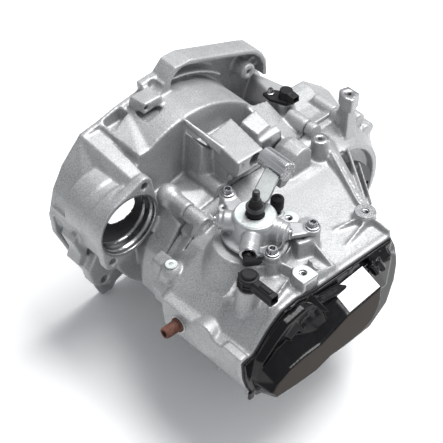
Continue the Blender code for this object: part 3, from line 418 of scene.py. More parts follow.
def gather(name, shapes):
    group = bpy.data.collections.new(name)
    bpy.context.scene.collection.children.link(group)
    for i, shape in enumerate(shapes):
        obj = new_object("%s_%d" % (name, i), shape, CAST)
        bpy.context.scene.collection.objects.unlink(obj)
        group.objects.link(obj)
    return group


def bake_mesh(obj):
    """Replace the object's mesh by its evaluated one and drop the modifiers."""
    graph = bpy.context.evaluated_depsgraph_get()
    made = bpy.data.meshes.new_from_object(obj.evaluated_get(graph))
    old = obj.data
    obj.modifiers.clear()
    obj.data = made
    bpy.data.meshes.remove(old)


def relax(mesh, rounds):
    """Smoothing that turns sharp corners into casting radii, kept inside the CAD's box.

    Each round pulls the points together and then pushes them back part of the way.
    """
    count = len(mesh.vertices)
    co = np.empty(count * 3)
    mesh.vertices.foreach_get("co", co)
    co = co.reshape(-1, 3)
    edges = np.empty(len(mesh.edges) * 2, dtype=np.int64)
    mesh.edges.foreach_get("vertices", edges)
    a, b = edges[0::2], edges[1::2]
    degree = np.bincount(a, minlength=count) + np.bincount(b, minlength=count)
    degree = np.maximum(degree, 1)[:, None]
    for _ in range(rounds):
        for factor in (0.55, -0.30):
            total = np.zeros_like(co)
            for axis in range(3):
                total[:, axis] = (np.bincount(a, co[b, axis], count)
                                  + np.bincount(b, co[a, axis], count))
            co += factor * (total / degree - co)
    co = np.clip(co, np.array(CAD_BOX[0]), np.array(CAD_BOX[1]))
    mesh.vertices.foreach_set("co", co.ravel())
    mesh.update()


def solid(name, adds, cuts, mat, voxel, rounds):
    """Casting: joined shapes less the cut ones, remeshed and given rounded corners."""
    obj = new_object(name, adds[0], mat)
    groups = []
    for label, shapes, operation in (("add", adds[1:], "UNION"), ("cut", cuts, "DIFFERENCE")):
        if not shapes:
            continue
        group = gather(name + "_" + label, shapes)
        groups.append(group)
        mod = obj.modifiers.new(label, "BOOLEAN")
        mod.operation = operation
        mod.operand_type = "COLLECTION"
        mod.collection = group
        mod.solver = "EXACT"
    remesh = obj.modifiers.new("remesh", "REMESH")
    remesh.mode = "VOXEL"
    remesh.voxel_size = voxel * MM
    bake_mesh(obj)
    for group in groups:
        for tool in list(group.objects):
            data = tool.data
            bpy.data.objects.remove(tool)
            bpy.data.meshes.remove(data)
        bpy.data.collections.remove(group)
    relax(obj.data, rounds)
    obj.data.materials.clear()
    obj.data.materials.append(mat)
    obj.data.shade_smooth()
    return obj


def paint(obj, mat, rule):
    """Give the faces picked by rule(centres, normals), in design millimetres, a material."""
    mesh = obj.data
    count = len(mesh.polygons)
    centres = np.empty(count * 3)
    normals = np.empty(count * 3)
    mesh.polygons.foreach_get("center", centres)
    mesh.polygons.foreach_get("normal", normals)
    centres = (centres.reshape(-1, 3) - np.array(SHIFT)) / MM
    chosen = rule(centres, normals.reshape(-1, 3))
    mesh.materials.append(mat)
    index = np.empty(count, dtype=np.int32)
    mesh.polygons.foreach_get("material_index", index)
    index[chosen] = len(mesh.materials) - 1
    mesh.polygons.foreach_set("material_index", index)
    mesh.update()


def attach(obj, body, slot, *nodes):
    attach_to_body(obj, body)
    if nodes:
        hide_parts(*nodes)
    return obj


def piece(name, data, mat, smooth, body, slot, *nodes):
    """Make an object and let it ride on its body."""
    return attach(new_object(name, data, mat, smooth), body, slot, *nodes)


def off_axis(centres, yz):
    """Distances from a line along X."""
    return np.hypot(centres[:, 1] - yz[0], centres[:, 2] - yz[1])


# ---------------------------------------------------------------- clutch housing

ENGINE_OUTLINE = [
    (-121, -95), (-112, -58), (-96, -28), (-66, 5), (-40, 10), (-12, 18), (30, 26), (42, 31),
    (53, 45), (64, 56), (74, 59), (84, 58), (192, 22), (205, 17), (216, 6), (224, -8),
    (226, -22), (227, -34), (236, -52), (246, -72), (260, -92), (270, -112), (273, -136),
    (268, -162), (250, -196), (222, -232), (186, -262), (158, -284), (150, -287), (134, -287),
    (126, -276), (104, -268), (-4, -268), (-24, -276), (-32, -287), (-50, -287), (-58, -270),
    (-66, -244), (-81, -215), (-92, -188), (-104, -158), (-118, -126),
]
FRONT_BOX = [
    (-56, -112), (-48, -100), (-30, -84), (0, -66), (60, -54), (112, -53), (166, -48),
    (196, -38), (246, -38), (284, -66), (308, -104), (309, -150), (292, -190), (254, -220),
    (205, -230), (150, -222), (100, -217), (40, -204), (-20, -190), (-62, -178), (-62, -140),
]
FRONT_LEFT = [(-34, -112), (-30, -100), (-16, -84), (10, -66)]
JOINT_BOLTS = [(292, -84), (304, -160), (262, -222), (190, -236), (90, -214), (-30, -190)]
CASE_MID = [
    (-62, -76), (-52, -68), (-42, -61), (-10, -55), (40, -56), (90, -57), (140, -57),
    (192, -57), (204, -80), (204, -120), (196, -170), (170, -208), (120, -217), (60, -212),
    (10, -202), (-40, -188), (-86, -170), (-100, -150), (-103, -126), (-104, -103), (-91, -99),
]
CASE_END = [
    (-66, -73), (-56, -64), (-45, -56), (-20, -51), (11, -58), (60, -58), (100, -58),
    (138, -58), (149, -78), (157, -106), (158, -140), (148, -176), (110, -196), (60, -197),
    (10, -194), (-40, -188), (-82, -174), (-95, -150), (-101, -130), (-104, -103), (-86, -98),
]
TURRET_BOLTS = [(40.6, -10.1), (40.5, 55.8), (-66.7, 20.0)]
OUTPUT = (110.78, -146.70)
IDLER = (42.2, -154.3)


def scaled(outline, factor, about):
    return [(about[0] + (y - about[0]) * factor, about[1] + (z - about[1]) * factor)
            for y, z in outline]


def arc(centre, radius, start, stop, count=24):
    """(Y, Z) points along a circle, angles in degrees."""
    points = []
    for i in range(count + 1):
        a = math.radians(start + (stop - start) * i / count)
        points.append((centre[0] + radius * math.cos(a), centre[1] + radius * math.sin(a)))
    return points


def band(centre, inner, outer, start, stop, x0, x1, count=24):
    outline = arc(centre, outer, start, stop, count)
    return prism(outline + arc(centre, inner, start, stop, count)[::-1], x0, x1)


def starter_plate(grow):
    """Outline of the starter's flange: a ring with an ear at either end."""
    points = []
    for centre, radius, start, stop in (((-55, -14), 12.0, 12, 113), (STARTER, 46.2, 113, 190),
                                        ((-107, -107), 12.0, 190, 288),
                                        (STARTER, 46.2, 288, 372)):
        points += arc(centre, radius + grow, start, stop, 14)
    return points


def build_bell():
    bar_top = ENGINE_OUTLINE[6:18] + [
        (221, -34), (219, -14), (211, 0), (202, 9), (190, 15), (84, 50), (76, 51), (68, 48),
        (58, 39), (54, 16), (50, 0), (34, 10)]
    near = FRONT_LEFT + scaled(FRONT_BOX[4:19], 1.04, INPUT) + [(-44, -172), (-48, -138)]
    adds = [
        prism(ENGINE_OUTLINE, X_ENGINE, -232),
        x_rod(INPUT, X_ENGINE, X_WALL, 136, count=96),
        prism(bar_top, X_ENGINE, -211),
        band(INPUT, 134, 151, 52, 100, X_ENGINE, -229, 30),
        band(INPUT, 146, 149, 50, 92, X_ENGINE, -214, 30),
        loft([(-172, near), (-157, near), (-130, FRONT_BOX), (X_JOINT, FRONT_BOX)]),
        # starter housing: stepped tube, ears and the broad web above it
        x_rod(STARTER, -200, -170, 45.0, count=64),
        x_rod(STARTER, -176, -150, 43.6, count=64),
        x_rod(STARTER, -154, X_STARTER, 46.0, count=64),
        hull(*[(X_ENGINE, y, z) for y, z in ((-119, -93), (-111, -60), (-95, -30), (-66, 4),
                                             (-40, 3), (-34, -34), (-60, -110))],
             *[(-196, y, z) for y, z in ((-119, -95), (-112, -64), (-98, -38), (-78, -22),
                                         (-50, -24), (-40, -50), (-60, -110))]),
        hull((-240, -66, 4.6), (-240, -40, 4.6), (-240, -34, -34), (-240, -80, -20),
             (-134, -62, -10), (-134, -46, -9), (-134, -38, -38), (-134, -76, -28)),
        loft([(-144, starter_plate(-1.5)), (-141, starter_plate(0.0)),
              (X_STARTER, starter_plate(0.0))]),
        prism([(-118.7, -80.3), (-90.2, -70.4), (-50.3, -100.6), (-62.4, -149.2),
               (-100.6, -128.3), (-111.3, -112.4)], -236.6, -150.7),
        loft([(-162.7, [(-50, -108), (-38, -90), (-32, -66), (4, -62), (4, -112)]),
              (-104, [(-46, -117), (-34, -104), (-16, -78), (4, -67), (4, -118)])]),
        # flange rim below, web to the lower bell and the slotted bracket with its ear
        rib((-238, -118, -97), (-238, -34, -246), 4, -98, -246),
        prism([(-62, -140), (-96, -136), (-110, -160), (-104, -186), (-93, -197), (-84, -199),
               (-76, -196), (-70, -186), (-56, -168)], -196, -178),
        prism([(-104, -112), (-119, -96), (-124, -106), (-114, -134), (-119, -148),
               (-100, -170)], -212, -188),
        # lever block with its blade rib and pads along the joint
        hull((-138, 54, 0), (-146, 98, 0), (-76, 87, 0), (-76, 45, 0), (-140, 50, -26),
             (-150, 104, -26), (-76, 92, -20), (-76, 43, -20), (-90, 50, -34), (-90, 92, -34)),
        hull((-160, 50, -20), (-160, 106, -20), (-98, 48, -24), (-98, 102, -24), (-164, 48, -66),
             (-164, 114, -66), (-98, 112, -66), (-98, 46, -66)),
        hull((-157, 30, 26), (-157, 34, 26), (-110, 50, 0), (-110, 54, 0), (-157, 35, 17),
             (-110, 52, -14), (-157, 31, 16), (-110, 49, -13)),
        hull((-157, 33, 24), (-141, 55, 0), (-112, 54, 0), (-157, 34, 18), (-141, 56, -8),
             (-112, 53, -8)),
        hull((-160, 34, 4), (-132, 37, -4), (-124, 53, -15), (-120, 41, -60), (-130, 32, -60),
             (-160, 32, -60), (-160, 54, -60)),
        hull((-132, 102, 0), (-138, 133, 0), (-108, 130, -4), (-104, 104, -4),
             (-140, 98, -60), (-146, 140, -60), (-98, 136, -60), (-98, 98, -60)),
        hull((-110, 104, -9), (-108, 140, -10), (-97, 140, -13), (-97, 104, -13),
             (-114, 100, -60), (-114, 148, -60), (-97, 146, -60), (-97, 100, -60)),
        hull((-160, 140, -14), (-160, 176, -22), (-97, 150, -36), (-97, 176, -44),
             (-160, 128, -60), (-97, 140, -60), (-97, 184, -60), (-160, 186, -60)),
        # dome cap and the long tube towards the turret
        dome((-134, -14, -55), 15),
        x_rod((-14, -56), -134, X_JOINT, 11),
        x_rod((40, -56), -150, X_JOINT, 11),
        x_rod((56, -40), -128, X_JOINT, 8),
        hull((-150, -20, -60), (-150, 60, -66), (-97, 60, -58), (-97, -30, -72),
             (-150, -40, -90), (-150, 60, -90), (-97, 60, -90), (-97, -50, -100)),
        # flange wall running back along the differential side
        hull((-236, 219, -44), (-236, 225, -44), (-160, 262, -62), (-160, 252, -60),
             (-160, 180, -30), (-160, 186, -20), (-236, 205, -80), (-160, 240, -120)),
        x_rod(DIFF, X_ENGINE, -150, 52, count=64),
        x_rod((190, -12), -236, -209, 11.5),
        x_rod((211, -17), X_ENGINE, -226, 10),
        x_rod((89, 21.5), X_ENGINE, -227, 12.5),
        # clamp block and the ledge beside it
        hull((-226, 2, 35), (-226, 33, 36), (-200, 5, 36), (-200, 33, 36), (-230, 0, -10),
             (-230, 34, -5), (-199, 0, -6), (-199, 36, -6)),
        hull((-232, -40, 8), (-232, -2, 18), (-160, -38, 4), (-160, -20, 6), (-232, -40, -30),
             (-232, 10, -20), (-160, -38, -30), (-160, 0, -20)),
        post((-146, 196, -66), 42, 12),
        post((-165, 187, -66), 42, 8),
        hull((-165, 180, -60), (-165, 196, -60), (-135, 188, -60), (-135, 206, -60),
             (-165, 182, -30), (-160, 196, -30), (-140, 188, -30), (-140, 204, -30)),
        # bosses of the joint to the gear casing
        x_rod((188, -34), -130, X_JOINT, 10.5),
        x_rod((240, -40), -134, X_JOINT, 11.5),
        hull((-118, 184, -40), (-118, 244, -40), (-97, 184, -34), (-97, 246, -34),
             (-118, 184, -70), (-118, 250, -70), (-97, 184, -70), (-97, 252, -70)),
    ]
    adds += [x_rod(yz, -122, X_JOINT, 9.5, count=24) for yz in JOINT_BOLTS]
    starter_mouth = arc((-74, -66), 31, 0, 360, 48)[:-1]
    cuts = [
        turned([(-2, 122), (62, 122), (75, 98), (77, 40)], (X_ENGINE, *INPUT), count=96),
        turned([(70, 37.5), (90, 37.5), (90, 39.5), (101, 39.5), (101, 41.5), (112, 41.5)],
               (X_ENGINE, *STARTER), count=72),
        loft([(X_ENGINE - 2, starter_mouth), (-205, starter_mouth),
              (-168, arc(STARTER, 37.5, 0, 360, 48)[:-1])]),
        x_rod(DIFF, -152, X_JOINT + 1, 88, count=64),
        x_rod(OUTPUT, -150, X_JOINT + 1, 61, count=48),
        x_rod(INPUT, -150, X_JOINT + 1, 42, count=48),
        x_rod(DIFF, -158, -140, 56, count=48),
        x_rod(IDLER, -150, X_JOINT + 1, 14),
        x_rod(INPUT, -170, -140, 17),
        x_rod(INPUT, -164, -140, 26),
        x_rod(OUTPUT, -162, -140, 31),
        x_rod(DIFF, -178, -140, 35),
        x_rod(DIFF, -200, -150, 25),
        x_rod(DIFF, -242, -196, 43.5, count=64),
        x_rod(IDLER, -158, -140, 7.5),
        prism([(-6, -88), (8, -78), (90, -72), (160, -70), (160, -140), (-6, -140)],
              -148, X_JOINT + 1),
        # mouth of the release lever's opening and the holes in the end of its block
        x_rod((98, -42), -180, -104, 12),
        x_rod((75, -11), -96, -70, 9.5),
        x_rod((52, -7), -86, -70, 2.6),
        hull((-234, -34, 26), (-214, -34, 26), (-214, -34, -3), (-234, -34, -3),
             (-234, -7, 26), (-222, -3, 26), (-222, -3, 1), (-234, -7, -1)),
        x_rod((8, 29), -212, -190, 3.4),
        hull((-216, 2, 21), (-192, 2, 21), (-216, 29, 24), (-192, 29, 24), (-216, 2, 14),
             (-192, 0, 13), (-216, 28, 17), (-192, 29, 18)),
        x_rod((-85, -189), -200, -170, 5.6),
        hull((-196, -66, -150), (-182, -66, -150), (-196, -96, -148), (-182, -96, -148),
             (-196, -86, -178), (-182, -86, -178), (-196, -76, -178), (-182, -76, -178)),
        x_rod((-55, -14), -152, -120, 5.5),
        x_rod((-107, -107), -152, -120, 5.5),
        x_rod((211, -17), -246, -220, 5.8),
        x_rod((89, 21.5), -246, -220, 6.4),
        x_rod((190, -12), -226, -200, 3.6),
        post((-146, 196, -52), 40, 8.6),
        post((-165, 187, -52), 40, 3.0),
    ]
    cuts += [x_rod(yz, X_ENGINE - 2, -180, 6.3)
             for yz in ((-41, -268), (142, -268), (250, -140), (-96, -120))]
    bell = solid("bell_casting", adds, cuts, CAST, voxel=1.8, rounds=2)

    # Picks the inward faces of the starter tube, which get painted shade (near-black casting)
    # where the bore lies in shadow.
    def painted_shade_tube_inside(c, n):
        inward = n[:, 1] * (c[:, 1] - STARTER[0]) + n[:, 2] * (c[:, 2] - STARTER[1]) < 0
        return (off_axis(c, STARTER) < 38.6) & (c[:, 0] > -238) & (c[:, 0] < -152) & inward

    def milled(c, n):
        engine_face = (n[:, 0] < -0.95) & (c[:, 0] < X_ENGINE + 0.8)
        bore = (off_axis(c, STARTER) < 41.8) & (c[:, 0] > -152) & (c[:, 0] < X_STARTER + 0.5)
        return engine_face | bore | ((n[:, 0] > 0.97) & (c[:, 0] > X_JOINT - 0.8))

    paint(bell, PAINTED_SHADE_CAST, painted_shade_tube_inside)
    paint(bell, MACHINED, milled)
    attach(bell, "housing", "cast_aluminium", "clutch_housing")


# ---------------------------------------------------------------- gear casing

def blend(first, second, share):
    return [((1 - share) * a[0] + share * b[0], (1 - share) * a[1] + share * b[1])
            for a, b in zip(first, second)]


def build_casing():
    foot = [(96, -150), (204, -150), (176, -287), (124, -287)]
    block_rear = [(118, -60), (121, -34), (129, -24), (140, -20), (150, -21), (156, -30),
                  (157, -60)]
    adds = [
        loft([(X_JOINT, FRONT_BOX), (-87, FRONT_BOX), (-66, blend(FRONT_BOX, CASE_MID, 0.65)),
              (-44, CASE_MID), (20, blend(CASE_MID, CASE_END, 0.5)), (X_COVER, CASE_END)]),
        prism(scaled(CASE_END, 1.012, (27, -128)), 85, X_COVER),
        turned([(0, 93), (14, 92), (37, 76), (42, 74)], (X_JOINT, *DIFF), count=96),
        # seat of the selector housing and the bulge below it
        turned([(-84, 45), (-52, 43.5), (-37, 41.5)], ORIGIN, UP, 64),
        turned([(-106, 58), (-84, 53), (-66, 47), (-50, 42), (-39, 38)], (-1, -10, 0),
               (0, 0.06, 1), 64),
        post((40.6, -10.1, -66), 33, 12.5, 9.5),
        post((40.5, 55.8, -66), 33, 12, 9.5),
        hull((28, 34, -36), (44, 30, -36), (50, 48, -36), (40, 60, -36), (30, 46, -36),
             (26, 32, -62), (48, 28, -62), (54, 50, -62), (36, 62, -62), (28, 48, -62)),
        post((-66.7, 20, -66), 33, 12, 9.5),
        # reversing light switch boss and the three-cornered pad beside it
        post((50, -56, -84), 42, 17, 12.4),
        hull((28, -78, -62), (46, -60, -58), (30, -52, -58), (28, -76, -80), (50, -56, -84),
             (26, -50, -84)),
        post((3, 55, -66), 27, 13, 12.2),
        post((78, 3, -66), 27.6, 12.6),
        box((78, X_COVER), (-9.5, 15.5), (-70, -38.4)),
        post((-13, 50, -66), 30, 9),
        # large boss with two ribs
        post((51, 138, -66), 21, 15, 13.8),
        rib((50, 130, -48), (40, 95, -56.5), 3.4, -62),
        rib((60, 130, -48), (68, 88, -56.5), 3.4, -62),
        rib((60, 140, -48), (X_COVER - 2, 140, -50), 4, -62),
        # block and vent boss at the joint
        loft([(-96, [(y, z - 6 if z > -50 else z) for y, z in block_rear]),
              (-84, block_rear), (-58, block_rear)]),
        post((-65, 177, -64), 38.5, 12, 11),
        x_rod((150, -44), X_JOINT, -70, 14),
        # crest towards the differential and the fan of ribs behind it
        rib((-90, 204, -43), (28, 150, -51), 3.2, -70),
        rib((-88, 209, -44), (34, 154, -53), 2.4, -72),
        rib((28, 150, -51), (86, 141, -56), 3.2, -66),
        rib((-52, 218, -56), (38, 157, -55), 3.0, -90),
        rib((-28, 214, -62), (34, 170, -62), 2.4, -90),
        hull((-96, 194, -46), (-96, 216, -46), (-70, 208, -50), (34, 153, -58), (30, 170, -68),
             (-96, 194, -96), (-60, 216, -100), (20, 176, -104), (20, 150, -90)),
        # tall lug
        plate([(-90, 233), (-86, 247), (-66, 247), (-61, 228), (-74, 224)], -12, 9),
        hull((-86, 234, -8), (-84, 245, -8), (-70, 245, -8), (-68, 230, -8), (-92, 228, -62),
             (-92, 250, -62), (-66, 250, -62), (-64, 226, -62)),
        x_rod((236, -37), X_JOINT, -80, 11),
        x_rod((190, -35), X_JOINT, -84, 10),
        x_rod((266, -52), X_JOINT, -76, 9.5),
        x_rod((276, -72), X_JOINT, -70, 9.5),
        hull((X_JOINT, 186, -40), (X_JOINT, 246, -40), (-84, 186, -40), (-84, 246, -42),
             (X_JOINT, 284, -70), (-78, 280, -74), (X_JOINT, 186, -80), (-84, 186, -80)),
        # ribs from the lugs to the cover flange
        rib((48, 50, -40), (X_COVER - 4, 50, -57), 3.2, -64),
        rib((46, -4, -38), (72, 4, -42), 3.2, -64),
        rib((60, 30, -47), (X_COVER - 4, 34, -50), 3.0, -62),
        rib((84, 15, -41), (86, 50, -50), 3.0, -62),
        rib((8, 64, -44), (10, 88, -57), 8, -60),
        rib((70, -12, -42), (80, -52, -56), 3.0, -66),
        rib((20, -34, -52), (30, -70, -60), 3.0, -74),
        # tube, lump and step towards the clutch housing; boss with a bolt face below
        x_rod((-14, -58), X_JOINT, -66, 11),
        hull((-78, -4, -48), (-64, -2, -52), (-62, -22, -58), (-76, -26, -56), (-80, -6, -80),
             (-58, -4, -80), (-56, -32, -84), (-80, -34, -84)),
        hull((X_JOINT, 0, -56), (-70, 4, -56), (-72, -26, -76), (X_JOINT, -30, -78),
             (X_JOINT, 0, -90), (-62, 0, -90), (-66, -30, -96)),
        hull((-74, -56, -96), (-46, -56, -94), (-74, -84, -100), (-46, -84, -100),
             (-76, -92, -116), (-44, -92, -116), (-74, -90, -136), (-46, -90, -136),
             (-72, -56, -140), (-46, -56, -140)),
        dome((-60, -74, -92), 15),
        hull((X_JOINT, -58, -92), (X_JOINT, -74, -96), (-66, -62, -84), (-66, -80, -88),
             (X_JOINT, -58, -112), (X_JOINT, -76, -112), (-66, -62, -112), (-66, -84, -112)),
        x_rod((-60, -124), X_JOINT, -60, 10),
        hull((X_JOINT, -52, -104), (X_JOINT, -60, -118), (-70, -60, -100), (-70, -74, -110),
             (X_JOINT, -52, -124), (-70, -60, -128)),
        # lower pads on the starter side
        rod((27, -72, -118), (0, -1, 0), 31, 24),
        rod((-14, -70, -124), (0, -1, 0), 33, 12.5),
        prism([(-104, -98), (-94, -96), (-94, -110), (-104, -112)], 60, X_COVER),
        prism(foot, -10, 44),
        rib((-10, 150, -150), (-50, 150, -150), 3, -205),
        *[x_rod(yz, X_JOINT, -80, 10, count=24) for yz in JOINT_BOLTS],
        *[rib((x, 120, -190), (x, -60, -180), 4, -222) for x in (-40, 10, 60)],
    ]
    inner = scaled(CASE_MID, 0.85, (50, -134))
    cuts = [
        loft([(X_JOINT - 1, scaled(FRONT_BOX, 0.88, (118, -134))),
              (-84, scaled(FRONT_BOX, 0.86, (112, -134))), (-62, inner), (-30, inner),
              (38, scaled(blend(CASE_MID, CASE_END, 0.62), 0.85, (44, -132)))]),
        x_rod(OUTPUT, X_JOINT - 1, -60, 61, count=48),
        x_rod(DIFF, X_JOINT - 1, -86, 88, count=64),
        turned([(0, 64), (30, 70)], (-66, *DIFF), count=96),
        x_rod(DIFF, -88, -70, 35),
        x_rod(DIFF, -90, -50, 25),
        loft([(50, scaled(CASE_END, 0.86, (36, -130))),
              (X_COVER + 1, scaled(CASE_END, 0.88, (34, -130)))]),
        x_rod((-20, -84), 30, 60, 7.3),
        x_rod(INPUT, 30, 60, 28),
        x_rod(OUTPUT, 30, 60, 28),
        post((0, 0, -80), 50, 27),
        # rooms of the selector finger and of the third and fourth gear fork
        box((-19, 19), (-40, 12), (-94, -65)),
        prism([(-46, -78), (-30, -70), (52, -67), (52, -155), (-46, -155)], -72, 42),
        post((50, -56, -72), 40, 7.3),
        post((-13, 50, -70), 40, 4.4),
        rod((-14, -80, -124), (0, -1, 0), 40, 6.4),
        post((3, 55, -52), 20, 4.6),
        post((78, 3, -52), 20, 4.6),
        post((38, 42, -46), 20, 2.4),
        post((51, 138, -56), 20, 4.6),
        post((-76, 236, -14), 30, 4.4),
        post((-65, 177, -42), 20, 3.6),
        *[post((x, y, -58), 30, 4.5) for x, y in TURRET_BOLTS],
        # shallow pocket beside the cover flange
        hull((68, 22, -36), (82, 20, -36), (82, 44, -36), (66, 42, -36), (68, 22, -52),
             (82, 20, -52), (82, 44, -54), (66, 42, -54)),
    ]
    casing = solid("gear_casing_casting", adds, cuts, CAST, voxel=1.8, rounds=2)

    def milled(c, n):
        lug = (n[:, 2] > 0.93) & (c[:, 2] > 7.0)
        large_boss = ((n[:, 2] > 0.95) & (np.hypot(c[:, 0] - 51, c[:, 1] - 138) < 14.5)
                      & (c[:, 2] > -46.5))
        vent_boss = ((n[:, 2] > 0.9) & (np.hypot(c[:, 0] + 65, c[:, 1] - 177) < 11.5)
                     & (c[:, 2] > -27))
        joint = (np.abs(n[:, 0]) > 0.97) & (c[:, 0] < X_JOINT + 0.8)
        rim = (n[:, 0] > 0.97) & (c[:, 0] > X_COVER - 0.8)
        return lug | large_boss | vent_boss | joint | rim

    paint(casing, MACHINED, milled)
    attach(casing, "housing", "cast_aluminium", "gear_casing")


# ---------------------------------------------------------------- end cover

def build_cover():
    middle = (27, -128)
    rim = scaled(CASE_END, 0.985, middle)
    step = [(-86, -104), (-66, -82), (-48, -66), (-20, -60), (12, -68), (60, -73), (100, -70),
            (130, -68), (143, -80), (146, -94), (146, -124), (138, -160), (110, -186),
            (60, -189), (10, -186), (-38, -179), (-76, -164), (-90, -132)]
    bulge = [(-84, -112), (-60, -92), (-42, -84), (-16, -84), (8, -80), (30, -76), (60, -72.5),
             (86, -69.4), (97, -100), (97, -125), (88, -142), (70, -152), (40, -158), (8, -158),
             (-16, -166), (-50, -166), (-82, -162), (-90, -138)]
    face = [(-80, -122), (-60, -112), (-40, -108), (-12, -107), (8, -99), (31, -88.8), (60, -84.5),
            (86, -80), (88, -100), (87, -114), (79, -130), (64, -139), (40, -143), (8, -143),
            (-15, -151), (-49, -150), (-80, -147), (-87, -134)]
    front = X_COVER + 1.7
    adds = [
        prism(rim, front, 96.4),
        loft([(95, step), (103, scaled(step, 0.985, middle)),
              (106, scaled(step, 0.96, middle))]),
        loft([(98, bulge), (126, scaled(face, 1.02, (5, -120))), (129, face)]),
        # sloping shoulder with the pressed ribs
        hull((96, -50, -74), (96, -30, -66), (96, -4, -60), (96, 12, -67), (103, -50, -86),
             (109, -28, -88), (108, -12, -79), (112, 6, -79), (118, 0, -98), (122, 12, -107),
             (96, -50, -112), (96, 12, -112), (104, -44, -112), (116, 0, -118)),
        hull((98, -5, -59), (98, 2, -57), (115, 6, -76), (117, 12, -78), (104, 4, -84),
             (100, -8, -76)),
        rod((100, -14.5, -64), (19, 26, -48), 56, 3.6),
        rod((101, -21, -75), (15, 18, -26), 32, 3.6),
        rod((101, -36, -69), (9, 9, -18), 24, 3.6),
        hull((96, -38, -66), (106, -38, -75), (111, -31, -83), (111, -43, -92), (105, -49, -82),
             (96, -50, -72), (96, -30, -84), (98, -46, -100)),
        rod((100, -64, -99), (10, 9, -15), 22, 3.2),
        rod((99, -67, -111), (9, 5, -11), 17, 3.2),
        rod((99, -55, -101), (10, 5, -9), 17, 3.0),
        rod((103, 93, -66), (6, 5, -12), 18, 4.0),
        rod((103, 104, -66), (6, 5, -12), 18, 4.0),
        hull((98, 96, -60), (98, 126, -62), (108, 100, -70), (108, 126, -76), (102, 98, -120),
             (108, 124, -120), (98, 134, -120), (98, 96, -130)),
        # clips over the flange
        *[box((front, 97.5), y, z) for y, z in (
            ((62, 70), (-68, -58.6)), ((-34, -26), (-66, -54)), ((128, 135), (-72, -60)),
            ((-92, -84), (-172, -160)), ((40, 50), (-196, -186)))],
    ]
    cuts = [
        loft([(front - 1, scaled(step, 0.90, (27, -130))),
              (100, scaled(step, 0.89, (27, -130)))]),
        loft([(96, scaled(bulge, 0.87, (3, -122))), (123, scaled(face, 0.87, (3, -120)))]),
    ]
    cover = solid("end_cover_pressing", adds, cuts, ENAMEL, voxel=1.15, rounds=5)
    # The faces turned towards +X on the end of the cover get the painted floor reflection (a
    # brownish enamel).
    paint(cover, PAINTED_REFLECTION_ENAMEL, lambda c, n: (n[:, 0] > 0.93) & (c[:, 0] > 126))
    attach(cover, "housing", "black_enamel_steel", "end_cover")
    seal = prism(CASE_END, X_COVER + 0.15, X_COVER + 1.5)
    hole = prism(scaled(CASE_END, 0.93, middle), X_COVER - 2, X_COVER + 3)
    ring = solid("cover_seal", [seal], [hole], SEALANT, voxel=0.8, rounds=1)
    attach(ring, "housing", "gasket_fibre", "cover_gasket")
    for i, y in enumerate((34.5, 59.7)):
        label = [(97.6, y, -74.6 + 0.118 * (y - 34)), (97.6, y + 25, -74.6 + 0.118 * (y - 9)),
                 (127.2, y + 25, -87.2 + 0.158 * (y - 9)), (127.2, y, -87.2 + 0.158 * (y - 34))]
        lift = Vector((0.45, 0.0, 0.88))
        top = [tuple(Vector(p) + lift * 1.3) for p in label]
        low = [tuple(Vector(p) - lift * 1.5) for p in label]
        piece("blank_label_%d" % (i + 1), loft_data([low, top]), LABEL, None, "housing",
              "black_enamel_steel")


# ---------------------------------------------------------------- selector housing

PORT_CENTRE = Vector((0.0, 0.0, -15.0))


def port(direction, reach, radius):
    """Stub running outwards from the turret's axis."""
    return rod(tuple(PORT_CENTRE), (direction[0], direction[1], 0), reach, radius)


